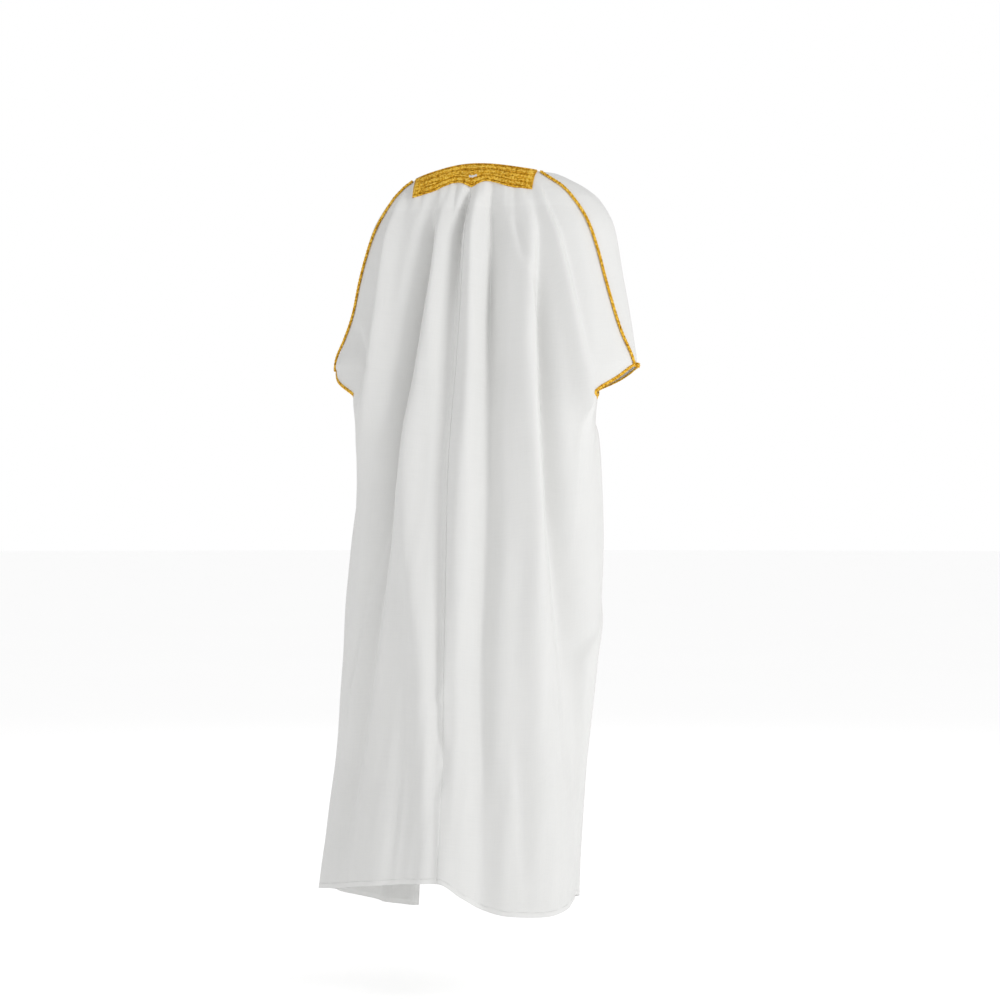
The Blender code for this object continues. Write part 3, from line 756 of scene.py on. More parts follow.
def noise_node(tree, coordinates, scale, detail, stretch=(1, 1, 1)):
    mapping = tree.nodes.new("ShaderNodeMapping")
    mapping.inputs["Scale"].default_value = stretch
    tree.links.new(coordinates, mapping.inputs["Vector"])
    noise = tree.nodes.new("ShaderNodeTexNoise")
    noise.inputs["Scale"].default_value = scale
    noise.inputs["Detail"].default_value = detail
    tree.links.new(mapping.outputs["Vector"], noise.inputs["Vector"])
    return noise.outputs["Fac"]


def uv_nodes(tree):
    """The UVs, and the two of them apart."""
    place = tree.nodes.new("ShaderNodeUVMap").outputs["UV"]
    parts = tree.nodes.new("ShaderNodeSeparateXYZ")
    tree.links.new(place, parts.inputs["Vector"])
    return place, parts.outputs["X"], parts.outputs["Y"]


def object_node(tree):
    return tree.nodes.new("ShaderNodeTexCoord").outputs["Object"]


def attribute_node(tree, name):
    node = tree.nodes.new("ShaderNodeAttribute")
    node.attribute_name = name
    return node.outputs["Fac"]


def ramp_node(tree, value, stops):
    """A colour ramp; stops are (position, colour)."""
    ramp = tree.nodes.new("ShaderNodeValToRGB")
    elements = ramp.color_ramp.elements
    while len(elements) < len(stops):
        elements.new(0.5)
    for element, (position, shade) in zip(elements, stops):
        element.position = position
        element.color = (*shade, 1.0)
    tree.links.new(value, ramp.inputs["Fac"])
    return ramp.outputs["Color"]


def range_node(tree, value, low, high):
    """The value, from 0 to 1, brought to between low and high."""
    node = tree.nodes.new("ShaderNodeMapRange")
    node.inputs["To Min"].default_value = low
    node.inputs["To Max"].default_value = high
    tree.links.new(value, node.inputs["Value"])
    return node.outputs["Result"]


def bump_node(tree, height, strength, distance):
    bump = tree.nodes.new("ShaderNodeBump")
    bump.inputs["Strength"].default_value = strength
    bump.inputs["Distance"].default_value = distance
    tree.links.new(height, bump.inputs["Height"])
    return bump.outputs["Normal"]


def set_shader(tree, shader, inputs):
    """Links or sets the shader's inputs, by their names."""
    for name, value in inputs.items():
        if isinstance(value, bpy.types.NodeSocket):
            tree.links.new(value, shader.inputs[name])
        else:
            shader.inputs[name].default_value = value


def scaled(colour, factor):
    return tuple(channel * factor for channel in colour)


def white_cloth(name):
    """Fine plain-weave cloth with slubs along both threads and a soft sheen."""
    made, tree, shader = new_material(name)
    place, u, v = uv_nodes(tree)
    drift = noise_node(tree, place, 260.0, 2.0)
    threads = [
        wave_node(tree, math_node(tree, "MULTIPLY_ADD", drift, THREAD_DRIFT, along_it), THREAD_PITCH)
        for along_it in (u, v)
    ]
    weave = math_node(tree, "MULTIPLY", *threads)
    slub_down = noise_node(tree, place, 420.0, 2.0, stretch=(1.0, 0.05, 1.0))
    slub_across = noise_node(tree, place, 420.0, 2.0, stretch=(0.05, 1.0, 1.0))
    slub = math_node(tree, "ADD", slub_down, slub_across)
    clouds = noise_node(tree, place, 9.0, 4.0)
    tone = math_node(tree, "MULTIPLY_ADD", slub, 0.32, math_node(tree, "MULTIPLY", clouds, 0.36))
    # Painted light: the doubled cloth is made lighter, standing in for the light that shows through single
    # cloth.
    tone = math_node(tree, "MULTIPLY_ADD", attribute_node(tree, "doubled"), 0.22, tone)
    white = tuple(robe("colours").cloth)
    light = tuple(min(channel, 0.86) for channel in scaled(white, 1.035))
    set_shader(tree, shader, {
        "Base Color": ramp_node(tree, tone, [(0.20, scaled(white, 0.955)), (0.50, white), (0.85, light)]),
        "Roughness": range_node(tree, slub_down, 0.74, 0.92),
        "Normal": bump_node(tree, math_node(tree, "MULTIPLY_ADD", weave, 0.35, slub), 0.45, 0.00022),
        "Specular IOR Level": 0.30,
        "Sheen Weight": 0.22,
        "Sheen Roughness": 0.45,
    })
    return made


def gold_thread(name, turn_pitch, slant, painted_highlight_gain):
    """Metal thread wound round a core, along the UVs: its turns are painted with shade in the gaps between
    them, and its colour runs from a painted shade to a painted highlight.
    """
    made, tree, shader = new_material(name)
    _, along_it, round_it = uv_nodes(tree)
    turned = math_node(tree, "ADD", along_it, math_node(tree, "MULTIPLY", round_it, slant))
    turns = math_node(tree, "MULTIPLY_ADD", wave_node(tree, turned, turn_pitch), 0.5, 0.5)
    grain = noise_node(tree, object_node(tree), 260.0, 3.0)
    glint = noise_node(tree, object_node(tree), 900.0, 2.0)
    spread = math_node(tree, "MULTIPLY_ADD", grain, 2.2, -0.63)
    # The turns paint shade into the gaps between them; the random grain spreads the colour between the
    # painted shade and the painted highlight.
    tone = math_node(tree, "MULTIPLY_ADD", turns, 0.22, spread)
    tone = math_node(tree, "ADD", tone, attribute_node(tree, "tone"))
    # The darkest stop is painted shade and the lightest stop a painted highlight; the middle stop lies
    # between the shade and the lit gold.
    gold, painted_shade_stop = tuple(robe("colours").gold), tuple(robe("colours").painted_gold_shade)
    middle = tuple(a * 0.6 + b * 0.4 for a, b in zip(gold, painted_shade_stop))
    light = tuple(min(a * painted_highlight_gain + b, 1.0) for a, b in zip(gold, (0.07, 0.15, 0.09)))
    height = math_node(tree, "MULTIPLY_ADD", turns, 0.8, math_node(tree, "MULTIPLY", glint, 0.5))
    set_shader(tree, shader, {
        "Base Color": ramp_node(tree, tone, [(0.22, painted_shade_stop), (0.45, middle), (0.62, gold), (0.86, light)]),
        "Roughness": range_node(tree, glint, 0.30, 0.52),
        "Normal": bump_node(tree, height, 0.7, 0.00030),
        "Metallic": 0.25,
        "Specular IOR Level": 0.2,
        "Specular Tint": (1.0, 0.62, 0.2, 1.0),
    })
    return made


def white_thread(name):
    """Sewing thread, twisted."""
    made, tree, shader = new_material(name)
    twist = noise_node(tree, object_node(tree), 1400.0, 2.0, stretch=(1.0, 1.0, 0.4))
    white = tuple(robe("colours").cloth)
    set_shader(tree, shader, {
        "Base Color": ramp_node(tree, twist, [(0.3, scaled(white, 0.86)), (0.7, scaled(white, 1.02))]),
        "Roughness": range_node(tree, twist, 0.5, 0.75),
        "Normal": bump_node(tree, twist, 0.5, 0.0002),
        "Sheen Weight": 0.15,
    })
    return made


def pale_floor(name):
    """A plain pale floor that the white room lights."""
    made, tree, shader = new_material(name)
    haze = noise_node(tree, object_node(tree), 0.8, 2.0)
    pale = tuple(robe("colours").floor)
    set_shader(tree, shader, {
        "Base Color": ramp_node(tree, haze, [(0.3, scaled(pale, 0.99)), (0.7, pale)]),
        "Roughness": 0.85,
        "Emission Color": (1.0, 1.0, 1.0, 1.0),
        "Emission Strength": FLOOR_GLOW,
    })
    return made


# What makes each finish; for gold, the pitch of its turns, their slant and the strength of its painted
# highlight.
FINISHES = {
    "white_cloth": (white_cloth,),
    "white_thread": (white_thread,),
    "wound_gold": (gold_thread, 0.0011, 0.9, 1.12),
    "couched_gold": (gold_thread, 0.0013, 0.7, 1.15),
    "backing_gold": (gold_thread, 0.0016, 0.15, 0.85),
}

# ---------------------------------------------------------------- the cloth panels


def back_angles(side, share, level):
    """Angles across a back half: share 0 at the centre seam, 1 at the sleeve opening's
    back end and 2 at the overarm seam."""
    start = side * centre_angle(level) + seam_shift(level)
    pit = seam_angle(level) * (90.0 - PIT_ANGLE) / 90.0
    end = seam_angle(level) - seam_shift(level)
    inner = start + (pit - start) * np.minimum(share, 1.0)
    return side * (inner + (end - pit) * np.maximum(share - 1.0, 0.0))


def front_angles(side, share, level):
    """Angles across a front: share 0 at the overarm seam, 1 at the sleeve opening's
    front end and 2 at the front edge."""
    start = seam_angle(level) + seam_shift(level)
    end = edge_angle(side, level)
    pit = start + np.minimum(PIT_ANGLE, (end - start) / 2)
    inner = start + (pit - start) * np.minimum(share, 1.0)
    return side * (inner + (end - pit) * np.maximum(share - 1.0, 0.0))


def row_levels(top, opening_above, opening_below, hem):
    """The levels of every row for each column: above the opening, across it, below it
    and, closer together, in the hem."""
    above = (np.arange(UPPER_ROWS) / UPPER_ROWS) ** CROWDING
    slit = np.arange(SLIT_ROWS) / SLIT_ROWS
    below = np.arange(LOWER_ROWS - HEM_ROWS) / (LOWER_ROWS - HEM_ROWS)
    turned = np.arange(HEM_ROWS + 1) / HEM_ROWS
    hem_top = hem + HEM_DEPTH * HEM_ROWS_DEPTH
    return np.concatenate([
        top + (opening_above - top) * above[:, None],
        opening_above + (opening_below - opening_above) * slit[:, None],
        opening_below + (hem_top - opening_below) * below[:, None],
        hem_top + (hem - hem_top) * turned[:, None],
    ])


def panel_points(angles_at, side, shares):
    """The grid of points of one panel and their levels."""
    rim = np.abs(angles_at(side, shares, PIT_LEVEL))
    top = neck_level(angles_at(side, shares, NECK_RISE))
    hem = hem_level(angles_at(side, shares, hem_level(0.0)))
    levels = row_levels(top, opening_top(rim), opening_bottom(rim), hem)
    below = (np.arange(len(levels)) > UPPER_ROWS + SLIT_ROWS / 2)[:, None]
    return drape(angles_at(side, shares[None, :], levels), levels, below), levels


def within(distance, depth):
    """1 nearer to an edge than the depth, and 0 past it."""
    return 1 - smooth_step(depth - 0.001, depth + 0.001, distance)


def turned_edge(distance, depth):
    """The height of an edge that is turned in twice and stitched."""
    groove = -STITCH_GROOVE * bell(distance - depth, 0.0012)
    return TURNED_EDGE * (1 - smooth_step(depth - 0.001, depth + 0.0006, distance)) + groove


def panel_relief(points, levels, is_back, side):
    """Hem, edges, seams and facing in relief, and the share of doubled cloth."""
    from_hem = levels - levels[-1]
    from_start = distance_along(points, axis=1)
    from_end = from_start[:, -1:] - from_start
    pucker = np.sin(from_start / 0.0058 + 1.7 * np.sin(from_start / 0.031))
    height = turned_edge(from_hem, HEM_DEPTH)
    height += HEM_PUCKER * pucker * bell(from_hem - HEM_DEPTH * 0.6, PUCKER_WIDTH)
    doubled = within(from_hem, HEM_DEPTH)
    if is_back:
        ripple = np.sin(levels / 0.0031 + 2.0 * np.sin(levels / 0.021))
        height -= CENTRE_GROOVE * bell(from_start, GROOVE_WIDTH)
        height += CENTRE_RIPPLE * ripple * bell(from_start - 0.004, 0.008)
        if side == LEFT:
            height += DOUBLED_CLOTH * (1 - smooth_step(SEAM_ALLOWANCE - 0.002, SEAM_ALLOWANCE, from_start))
        facing = smooth_step(FACING_LEVEL - 0.0012, FACING_LEVEL + 0.0012, levels)
        height += DOUBLED_CLOTH * facing
        height *= 1 - smooth_step(*YOKE_HOLDS, levels)
        doubled = np.maximum(doubled, facing)
    else:
        ripple = np.sin(levels / 0.0060 + 1.6 * np.sin(levels / 0.043))
        height += turned_edge(from_end, EDGE_DEPTH)
        height += EDGE_RIPPLE * ripple * bell(from_end - EDGE_DEPTH * 0.6, PUCKER_WIDTH)
        doubled = np.maximum(doubled, within(from_end, EDGE_DEPTH))
    height -= SIDE_GROOVE * bell(from_end if is_back else from_start, GROOVE_WIDTH) * (levels < PIT_LEVEL)
    return height, doubled


def cloth_panel(name, node, is_back, side):
    """One panel of the robe as a thin wall."""
    arm = np.arange(ARM_COLUMNS + 1) / ARM_COLUMNS
    if is_back:
        angles_at, columns = back_angles, BACK_COLUMNS + ARM_COLUMNS
        body = (np.arange(BACK_COLUMNS) / BACK_COLUMNS) ** CROWDING
        shares = np.concatenate([body, 1 + arm])
        open_here = shares > 1.0
    else:
        angles_at, columns = front_angles, ARM_COLUMNS + FRONT_COLUMNS
        body = 2 - (1 - np.arange(FRONT_COLUMNS + 1) / FRONT_COLUMNS) ** CROWDING
        shares = np.concatenate([arm[:-1], body])
        open_here = shares < 1.0
    points, levels = panel_points(angles_at, side, shares)
    height, doubled = panel_relief(points, levels, is_back, side)
    points = relief(points, height * side)
    obj, column, row = grid_object(name, columns, UPPER_ROWS + SLIT_ROWS + LOWER_ROWS)
    shape_grid(obj, column, row, points, side == RIGHT)
    add_value(obj, "doubled", doubled[row, column])
    cell_column, cell_row = face_cells(obj, column, row)
    in_slit = (cell_row >= UPPER_ROWS) & (cell_row < UPPER_ROWS + SLIT_ROWS)
    drop_faces(obj, in_slit & (open_here[cell_column] | open_here[cell_column + 1]))
    thicken(obj, robe("sizes").cloth)
    return finish_piece(obj, "white_cloth", "robe_cloth", node)


def hang_panels(kind, is_back):
    """The right and the left panel of a kind."""
    for side in (RIGHT, LEFT):
        node = f"{kind}_{SIDE_NAMES[side]}"
        panel = cloth_panel(f"robe_{node}", node, is_back, side)


class ROBE_OT_back_halves(bpy.types.Operator):
    """Model the two halves of the back, each cut in one with half of its sleeve"""

    bl_idname = "robe.back_halves"
    bl_label = "Back halves"

    def execute(self, context):
        hang_panels("back", True)
        return {"FINISHED"}


class ROBE_OT_fronts(bpy.types.Operator):
    """Model the two fronts with their plain turned edges"""

    bl_idname = "robe.fronts"
    bl_label = "Fronts"

    def execute(self, context):
        hang_panels("front", False)
        return {"FINISHED"}


# ---------------------------------------------------------------- facing and yoke

FACING_ANGLES = (-60.5, 58.0)
FACING_DROP = 0.0006          # below the neckline
FACING_THICKNESS = 0.0009
FACING_CLEARANCE = 0.0012
SCALLOP_END = 0.78            # where a scallop meets the yoke's end, as a share of half the yoke
SCALLOP_ROUNDNESS = 1.5
CORD_ENDS = 0.992             # the couched rows stop here
BEAD_PITCH = 0.0030
ROW_SPACING = 0.00078

# The white bar tack: its ends and its height on the yoke as shares, and its threads.
TACK_ENDS = (-0.115, 0.060)
TACK_DEPTH = 0.555
TACK_THREADS = 5
TACK_RADII = (0.00052, 0.00045)

# Couched rows across the yoke: how deep each lies, as a share of the yoke's depth, its
# height above the backing and its thickness, as shares of the cord's radius, and its tone, partly the
# thread's own and partly painted shade on the rows that lie low and painted light on those that stand high.
COUCHED_ROWS = (
    (0.020, 0.7, 1.45, -0.16), (0.080, 0.3, 1.00, -0.20), (0.135, 0.8, 1.25, 0.14),
    (0.195, 1.0, 1.30, 0.20), (0.255, 0.4, 1.05, 0.02), (0.315, -0.6, 0.75, -0.30),
    (0.375, 0.6, 1.15, 0.06), (0.435, 0.9, 1.20, 0.15), (0.495, 0.6, 1.10, 0.08),
    (0.550, 0.2, 0.95, -0.06), (0.610, 0.7, 1.15, 0.12), (0.665, -0.6, 0.75, -0.30),
    (0.720, 0.4, 1.05, -0.04), (0.780, 0.9, 1.25, 0.16), (0.840, 0.8, 1.20, 0.10),
    (0.900, -0.2, 0.85, -0.24), (0.968, 0.8, 1.50, -0.02),
)
END_BARS = (0.925, 0.938, 0.951, 0.964, 0.977, 0.990)    # couched down the yoke near its ends


class ROBE_OT_facing(bpy.types.Operator):
    """Model the facing inside the back neck"""

    bl_idname = "robe.facing"
    bl_label = "Neck facing"

    def execute(self, context):
        columns, rows = 120, 36
        obj, column, row = grid_object("robe_neck_facing", columns, rows)
        angles = np.linspace(*FACING_ANGLES, columns + 1)[None, :]
        top = neck_level(angles) - FACING_DROP
        levels = top + (FACING_LEVEL - top) * np.arange(rows + 1)[:, None] / rows
        inward = robe("sizes").cloth / 2 + FACING_CLEARANCE + FACING_THICKNESS / 2
        angles = np.broadcast_to(angles, levels.shape)
        shape_grid(obj, column, row, raised(angles, levels, -inward), False)
        add_value(obj, "doubled", np.ones(len(obj.data.vertices)))
        thicken(obj, FACING_THICKNESS)
        finish_piece(obj, "white_cloth", "robe_cloth", "neck_facing")
        return {"FINISHED"}


def yoke_depth(share):
    """The yoke's depth at a share of its half width: deep ends, a shallow scallop and a
    point at the centre."""
    scallop = np.sin(np.pi * np.minimum(share / SCALLOP_END, 1.0)) ** SCALLOP_ROUNDNESS
    base = YOKE_DEPTH_POINT + (YOKE_DEPTH_ENDS - YOKE_DEPTH_POINT) * share
    return base - (base - YOKE_DEPTH_SCALLOP) * scallop


def angle_at_x(x, level, guess):
    """The angle at which the cloth passes a distance to the wearer's left."""
    angle = guess.copy()
    for _ in range(10):
        miss = drape(angle, level)[..., 0] - x
        slope = drape(angle + 0.5, level)[..., 0] - drape(angle - 0.5, level)[..., 0]
        angle = angle - miss / slope
    return angle


def yoke_points(share, depth_share, distance):
    """Points over the yoke: share from -1 to 1 across it and depth_share from 0 at the
    neckline to 1 at its lower edge, at a distance out of the cloth."""
    share, depth_share = np.broadcast_arrays(np.asarray(share, float), np.asarray(depth_share, float))
    top_angle = share * (NECK_HALF_ANGLE - YOKE_END_MARGIN)
    top = neck_level(top_angle)
    target = drape(top_angle, top)[..., 0] * (1 + (YOKE_TAPER - 1) * np.minimum(depth_share * 3, 1.0))
    level = top - yoke_depth(np.abs(share)) * depth_share * YOKE_SLOPE
    angle = angle_at_x(target, level, top_angle)
    return raised(angle, level, distance), cloth_normal(angle, level)


def over_yoke(height):
    """The distance out of the cloth of something this far above the yoke's backing."""
    sizes = robe("sizes")
    return sizes.cloth / 2 + TRIM_CLEARANCE + sizes.yoke_cloth + height


def couched_cord(share, depth_share, lift, thickness):
    """One couched cord through points of the yoke, beaded where it is tied down."""
    radius = robe("sizes").yoke_cord
    rough, normals = yoke_points(share, depth_share, over_yoke(radius * (0.55 + 0.5 * lift)))
    path, at, normals, _ = even_path(rough, normals, ROW_SPACING)
    bead = 1 + 0.16 * np.sin(2 * np.pi * at / BEAD_PITCH + 9 * depth_share.mean())
    return tube_rings(path, normals, radius * thickness * bead * 1.05, radius * thickness * bead, 6)


class ROBE_OT_yoke(bpy.types.Operator):
    """Model the yoke's backing, its couched cords and the white bar tack"""

    bl_idname = "robe.yoke"
    bl_label = "Neck yoke"

    def execute(self, context):
        columns, rows = 180, 26
        backing, column, row = grid_object("robe_yoke_backing", columns, rows)
        share = np.linspace(-1, 1, columns + 1)[None, :]
        depth_share = np.arange(rows + 1)[:, None] / rows
        thickness = robe("sizes").yoke_cloth
        points, _ = yoke_points(share, depth_share, over_yoke(-thickness / 2))
        shape_grid(backing, column, row, points[:, ::-1], True)
        thicken(backing, thickness)
        finish_piece(backing, "backing_gold", "gold_embroidery", "neck_yoke")

        strands, tones = [], []
        wander = np.random.RandomState(SEED + 1)
        across = np.linspace(-CORD_ENDS, CORD_ENDS, 260)
        for depth, lift, thickness, tone in COUCHED_ROWS:
            wave = np.sin(across * wander.uniform(6, 11) + wander.uniform(0, 6)) * np.sin(np.pi * depth)
            strands.append(couched_cord(across, depth + 0.012 * wave, lift, thickness))
            tones.append(tone)
        down = np.linspace(0.03, 0.97, 40)
        for side in (RIGHT, LEFT):
            for place in END_BARS:
                at_edge = place == END_BARS[-1]
                strands.append(couched_cord(side * (place + 0 * down), down, 2.1 if at_edge else 1.5, 1.1))
                tones.append(-0.12 if at_edge else wander.uniform(-0.10, 0.18))
        cords = tube_mesh("robe_yoke_cords", strands, tones=tones)
        finish_piece(cords, "couched_gold", "gold_embroidery")

        tacks = []
        for k in range(TACK_THREADS):
            reach = np.linspace(*TACK_ENDS, 30) + 0.004 * math.sin(2.3 * k)
            depth_share = TACK_DEPTH + 0.016 * k + 0.01 * np.sin(reach * 90 + k)
            path, normals = yoke_points(reach, depth_share, over_yoke(robe("sizes").yoke_cord * 2.0))
            tacks.append(tube_rings(path, normals, *TACK_RADII, 6))
        finish_piece(tube_mesh("robe_bar_tack", tacks), "white_thread", "robe_cloth")
        return {"FINISHED"}


# ---------------------------------------------------------------- gold cords

PIPING_TURN = 0.021           # length of one twist
PIPING_START = 0.002          # below the neckline
PIPING_LEAN = 3.2             # it starts this many degrees nearer the yoke
PIPING_LEAN_DEPTH = 0.030
PIPING_SPACING = 0.0012
BRAID_TURN = 0.0150
BRAID_SPACING = 0.0011
KNOT_TURNS = 2.6
KNOT_ANGLE = 2.5              # past the seam, in degrees
KNOT_ASIDE = 0.0012
KNOT_ENDS = (0.0040, -0.0044)
STRANDS = 3


def twisted(path, at, normals, turn):
    """For each strand of a cord, how far it is through its turn; and the cord's frame."""
    across, out = path_frame(path, normals)
    for k in range(STRANDS):
        yield 2 * np.pi * (at / turn + k / STRANDS), across, out


def laid_rope(path, at, normals, radius, turn):
    """Three strands twisted into a cord."""
    strands = []
    for phase, across, out in twisted(path, at, normals, turn):
        shift = across * np.cos(phase)[:, None] + out * np.sin(phase)[:, None] * 0.82
        strands.append(
            tube_rings(path + shift * radius * 0.50, normals, radius * 0.56, radius * 0.52, 8, phase))
    return strands


def flat_plait(path, at, normals, half_width, turn):
    """Three strands plaited flat."""
    strands = []
    for phase, across, out in twisted(path, at, normals, turn):
        shift = across * np.sin(phase)[:, None] * 0.58 + out * np.sin(2 * phase)[:, None] * 0.20
        strands.append(
            tube_rings(path + shift * half_width, normals, half_width * 0.44, half_width * 0.36, 8))
    return strands


class ROBE_OT_piping(bpy.types.Operator):
    """Model the gold cord over each shoulder and arm"""

    bl_idname = "robe.piping"
    bl_label = "Shoulder piping"

    def execute(self, context):
        sizes = robe("sizes")
        distance = sizes.cloth / 2 + TRIM_CLEARANCE + sizes.piping * 0.86
        for side in (RIGHT, LEFT):
            top = float(neck_level(np.array(side * NECK_HALF_ANGLE))) - PIPING_START
            levels = top + (CORNER_LEVEL + 0.002 - top) * np.linspace(0, 1, 300) ** CROWDING
            lean = PIPING_LEAN * (1 - smooth_step(0.0, PIPING_LEAN_DEPTH, top - levels))
            angles = side * (seam_angle(levels) - lean)
            path, at, normals, _ = even_path(
                raised(angles, levels, distance), cloth_normal(angles, levels), PIPING_SPACING)
            piping = tube_mesh(
                f"robe_piping_{SIDE_NAMES[side]}", laid_rope(path, at, normals, sizes.piping, PIPING_TURN))
            finish_piece(piping, "wound_gold", "gold_cord", f"piping_{SIDE_NAMES[side]}")
        return {"FINISHED"}


def opening_loop(side, count):
    """Points and normals round the sleeve opening, along the rims of the two panels."""
    shares = np.linspace(0, 1, count)
    points, normals = [], []
    for rim, below in ((opening_top, False), (opening_bottom, True)):
        back_level = rim(np.abs(back_angles(side, 1 + shares, PIT_LEVEL)))
        front_level = rim(np.abs(front_angles(side, shares, PIT_LEVEL)))
        angles = np.concatenate([
            back_angles(side, 1 + shares, back_level), front_angles(side, shares, front_level)[1:]
        ])
        levels = np.concatenate([back_level, front_level[1:]])
        if below:
            angles, levels = angles[::-1], levels[::-1]
        points.append(drape(angles, levels, below))
        normals.append(cloth_normal(angles, levels, below))
    return np.concatenate(points), np.concatenate(normals)


def smoothed(values, passes):
    """A closed row of values, each pass averaging it with its neighbours."""
    for _ in range(passes):
        values = (np.roll(values, 1, axis=0) + values * 2 + np.roll(values, -1, axis=0)) / 4
    return values


def corner_knot(side, sizes):
    """The small wound knot where the piping meets the braid at the sleeve's corner."""
    angle = np.array([side * (seam_angle(CORNER_LEVEL) + KNOT_ANGLE)])
    corner = raised(angle, np.array([CORNER_LEVEL]), sizes.braid * 0.8)[0]
    turns = np.linspace(0, KNOT_TURNS * 2 * np.pi, 70)
    swell = 0.0026 + 0.0010 * np.sin(turns / KNOT_TURNS / 2)
    rise = np.linspace(*KNOT_ENDS, len(turns))
    middle = corner + np.stack([0 * turns + side * KNOT_ASIDE, 0 * turns, rise], axis=-1)
    path = middle + np.stack([swell * np.cos(turns), swell * np.sin(turns), 0 * turns], axis=-1)
    return tube_rings(path, unit(path - middle), 0.0015, 0.0014, 8)


class ROBE_OT_braids(bpy.types.Operator):
    """Model the plaited braid round each sleeve opening, with its corner knot"""

    bl_idname = "robe.braids"
    bl_label = "Sleeve braids"

    def execute(self, context):
        sizes = robe("sizes")
        for side in (RIGHT, LEFT):
            points, out = opening_loop(side, 60)
            out = unit(smoothed(out, 12))
            path, at, normals, length = even_path(
                smoothed(points, 5) + out * sizes.cloth * 0.9, out, BRAID_SPACING, closed=True)
            turn = length / round(length / BRAID_TURN)
            strands = flat_plait(path, at, smoothed(normals, 4), sizes.braid, turn)
            name = SIDE_NAMES[side]
            braid = tube_mesh(f"robe_braid_{name}", strands, closed=True)
            knot = tube_mesh(f"robe_knot_{name}", [corner_knot(side, sizes)])
            only(braid)
            knot.select_set(True)
            bpy.ops.object.join()
            finish_piece(braid, "wound_gold", "gold_cord", f"braid_{name}")
        return {"FINISHED"}


# ---------------------------------------------------------------- stitching

STITCH_THICKNESS = 0.00055
STITCH_LIFT = 0.0001
EDGE_STITCHES = (-0.015, -1.37)    # the levels where the front edges' stitches start and end


def stitch_template():
    """The points and faces of a ball, a unit across, that every stitch is made from."""
    deselect()
    bpy.ops.mesh.primitive_uv_sphere_add(segments=6, ring_count=4, radius=0.5)
    obj = bpy.context.object
    flat = np.empty(len(obj.data.vertices) * 3)
    obj.data.vertices.foreach_get("co", flat)
    faces = [tuple(face.vertices) for face in obj.data.polygons]
    mesh = obj.data
    bpy.data.objects.remove(obj)
    bpy.data.meshes.remove(mesh)
    return flat.reshape(-1, 3), faces


def stitches_mesh(name, runs, length, thickness):
    """One mesh of all the stitches of these runs of points and normals, each a ball drawn
    long and pressed flat on the cloth."""
    shape, faces = stitch_template()
    points, polygons = [], []
    for path, normals in runs:
        along_it = unit(np.gradient(path, axis=0))
        across = unit(np.cross(normals, along_it))
        for centre, x_axis, y_axis in zip(path, along_it, across):
            first = len(points) * len(shape)
            points.append(
                centre
                + (shape[:, :1] * x_axis + shape[:, 1:2] * y_axis) * thickness
                + shape[:, 2:] * x_axis * length
            )
            polygons.extend(tuple(first + k for k in face) for face in faces)
    obj = mesh_object(name, np.concatenate(points), polygons)
    face_outward(obj)
    bpy.ops.object.shade_smooth()
    return obj


class ROBE_OT_stitching(bpy.types.Operator):
    """Sew the hem and the two front edges with small white stitches"""

    bl_idname = "robe.stitching"
    bl_label = "Hem and edge stitching"

    def execute(self, context):
        sizes = robe("sizes")
        out = sizes.cloth / 2 + STITCH_LIFT
        rows = []
        for side in (RIGHT, LEFT):
            for angles_at, low, high in ((back_angles, 0.004, 1.985), (front_angles, 0.015, 1.97)):
                angles = angles_at(side, np.linspace(low, high, 400), hem_level(0.0))
                rows.append((angles, hem_level(angles) + HEM_DEPTH, True))
            levels = np.linspace(*EDGE_STITCHES, 900)
            angles = edge_angle(side, levels)
            through = drape(side * angles, levels) - drape(side * angles + 180, levels)
            radius = np.linalg.norm(through[:, :2], axis=-1) / 2
            rows.append((side * (angles - np.degrees(EDGE_DEPTH / radius)), levels, levels < PIT_LEVEL))
        runs = []
        for angles, levels, below in rows:
            normals = cloth_normal(angles, levels, below)
            path, _, normals, _ = even_path(
                drape(angles, levels, below) + normals * out, normals, sizes.stitch_pitch)
            runs.append((path, normals))
        obj = stitches_mesh("robe_stitches", runs, sizes.stitch, STITCH_THICKNESS)
        finish_piece(obj, "white_thread", "robe_cloth")
        return {"FINISHED"}


# ---------------------------------------------------------------- the studio

FLOOR_LEVEL = -1.55
FLOOR_RADIUS = 40.0
CAMERA_ASIDE = 0.0266
LIGHT_DISTANCE = 4.5

# Softboxes: name, degrees round from the camera, height in degrees, width and height in
# metres, the power it takes and its share of that power.
SOFTBOXES = (
    ("key", 50, 22, (1.4, 1.8), "key", 1.0),
    ("fill", -60, 12, (1.8, 1.8), "fill", 1.0),
    ("front", 180, 30, (2.5, 2.5), "key", 0.3),
)


def direction(azimuth, elevation):
    """The way from the robe to a place round it, azimuth 0 in front of it."""
    return Vector((
        math.sin(azimuth) * math.cos(elevation),
        -math.cos(azimuth) * math.cos(elevation),
        math.sin(elevation),
    ))


def softbox(name, azimuth, elevation, size, power, target):
    """A flat area light turned to the target."""
    deselect()
    way = direction(azimuth, elevation)
    bpy.ops.object.light_add(type="AREA", location=target + way * LIGHT_DISTANCE)
    lamp = bpy.context.object
    lamp.name = name
    lamp.data.shape = "RECTANGLE"
    lamp.data.size, lamp.data.size_y = size
    lamp.data.energy = power
    lamp.rotation_euler = (-way).to_track_quat("-Z", "Y").to_euler()


def white_room(strength):
    """A white room: plainly white where it is seen, and dimmer as a light."""
    world = bpy.data.worlds.new("white_room")
    world.use_nodes = True
    bpy.context.scene.world = world
    tree = world.node_tree
    background = tree.nodes["Background"]
    background.inputs["Color"].default_value = (1.0, 1.0, 1.0, 1.0)
    seen = tree.nodes.new("ShaderNodeLightPath").outputs["Is Camera Ray"]
    level = tree.nodes.new("ShaderNodeMapRange")
    level.inputs["To Min"].default_value = strength
    level.inputs["To Max"].default_value = 1.0
    tree.links.new(seen, level.inputs["Value"])
    tree.links.new(level.outputs["Result"], background.inputs["Strength"])


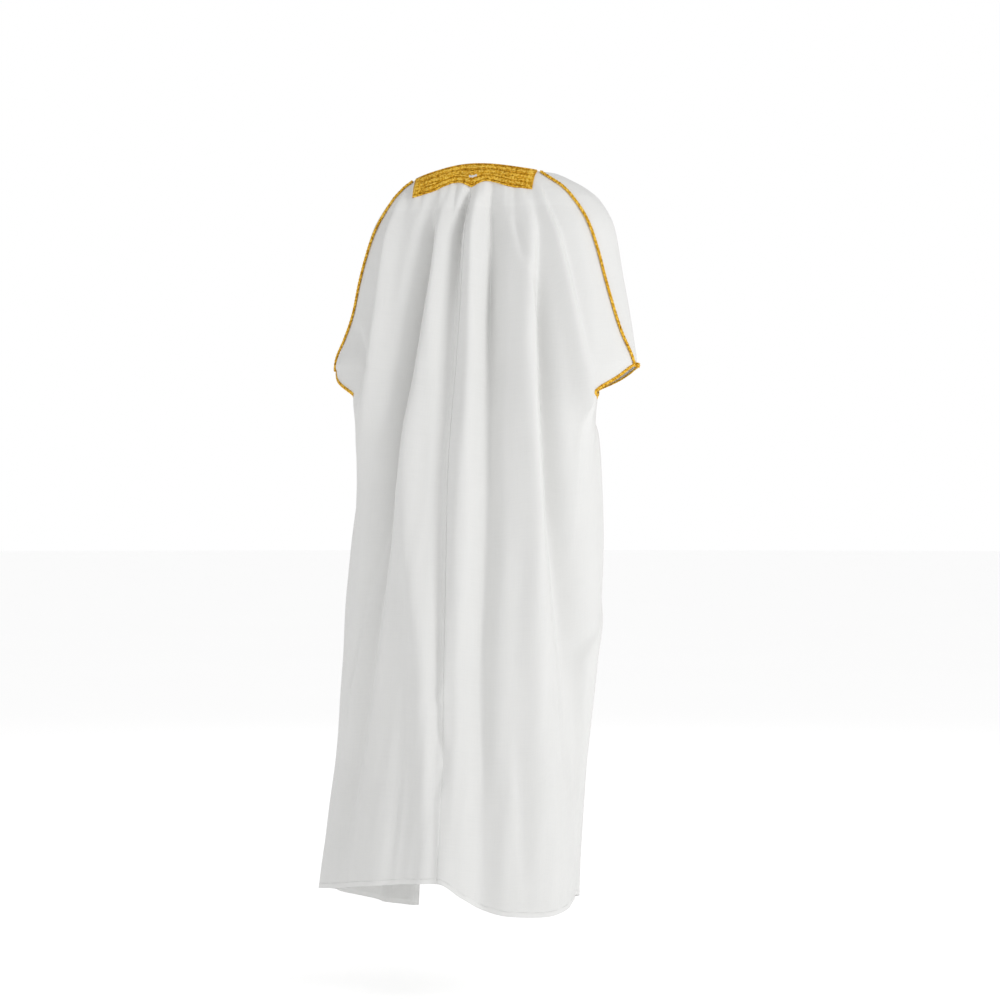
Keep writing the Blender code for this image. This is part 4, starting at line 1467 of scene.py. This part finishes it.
class ROBE_OT_stage(bpy.types.Operator):
    """Set the floor, the white room, the lights and the camera"""

    bl_idname = "robe.stage"
    bl_label = "Stage"

    def execute(self, context):
        studio = robe("studio")
        target = Vector((0.0, 0.0, studio.height))
        deselect()
        bpy.ops.mesh.primitive_circle_add(
            vertices=96, radius=FLOOR_RADIUS, fill_type="NGON", location=(0, 0, FLOOR_LEVEL))
        floor = bpy.context.object
        floor.name = "floor"
        floor.data.materials.append(pale_floor("pale_floor"))
        white_room(studio.room)
        for name, aside, above, size, power, share in SOFTBOXES:
            azimuth = studio.azimuth + math.radians(aside)
            softbox(name, azimuth, math.radians(above), size, getattr(studio, power) * share, target)

        way = direction(studio.azimuth, 0.0)
        right = Vector((math.cos(studio.azimuth), math.sin(studio.azimuth), 0.0))
        aim = target + right * CAMERA_ASIDE
        bpy.ops.object.camera_add(location=aim + way * studio.distance)
        camera = bpy.context.object
        camera.name = "camera"
        camera.rotation_euler = (-way).to_track_quat("-Z", "Y").to_euler()
        camera.data.lens = studio.lens
        camera.data.sensor_width = 36.0
        camera.data.dof.use_dof = False
        context.scene.camera = camera
        context.scene.view_settings.view_transform = "Standard"
        return {"FINISHED"}


# ---------------------------------------------------------------- the add-on

GROUPS = {"sizes": RobeSizes, "colours": RobeColours, "studio": RobeStudio}
STEPS = (
    ROBE_OT_back_halves, ROBE_OT_fronts, ROBE_OT_facing, ROBE_OT_yoke, ROBE_OT_piping, ROBE_OT_braids,
    ROBE_OT_stitching, ROBE_OT_stage,
)


class ROBE_PT_panel(bpy.types.Panel):
    """Lists the robe's sizes, colours and steps"""

    bl_idname = "ROBE_PT_panel"
    bl_label = "Open robe"
    bl_space_type = "VIEW_3D"
    bl_region_type = "UI"
    bl_category = "Robe"

    def draw(self, context):
        for kind in GROUPS:
            box = self.layout.box()
            box.label(text=kind.capitalize())
            group = getattr(context.scene, "robe_" + kind)
            for name in group.__annotations__:
                box.prop(group, name)
        for step in STEPS:
            self.layout.operator(step.bl_idname)


CLASSES = (*GROUPS.values(), *STEPS, ROBE_PT_panel)


def register():
    for made in CLASSES:
        bpy.utils.register_class(made)
    for kind, group in GROUPS.items():
        setattr(bpy.types.Scene, "robe_" + kind, bpy.props.PointerProperty(type=group))


def unregister():
    for kind in GROUPS:
        delattr(bpy.types.Scene, "robe_" + kind)
    for made in reversed(CLASSES):
        bpy.utils.unregister_class(made)


def main():
    register()
    for step in STEPS:
        group, name = step.bl_idname.split(".")
        getattr(getattr(bpy.ops, group), name)()


if __name__ == "__main__":
    main()
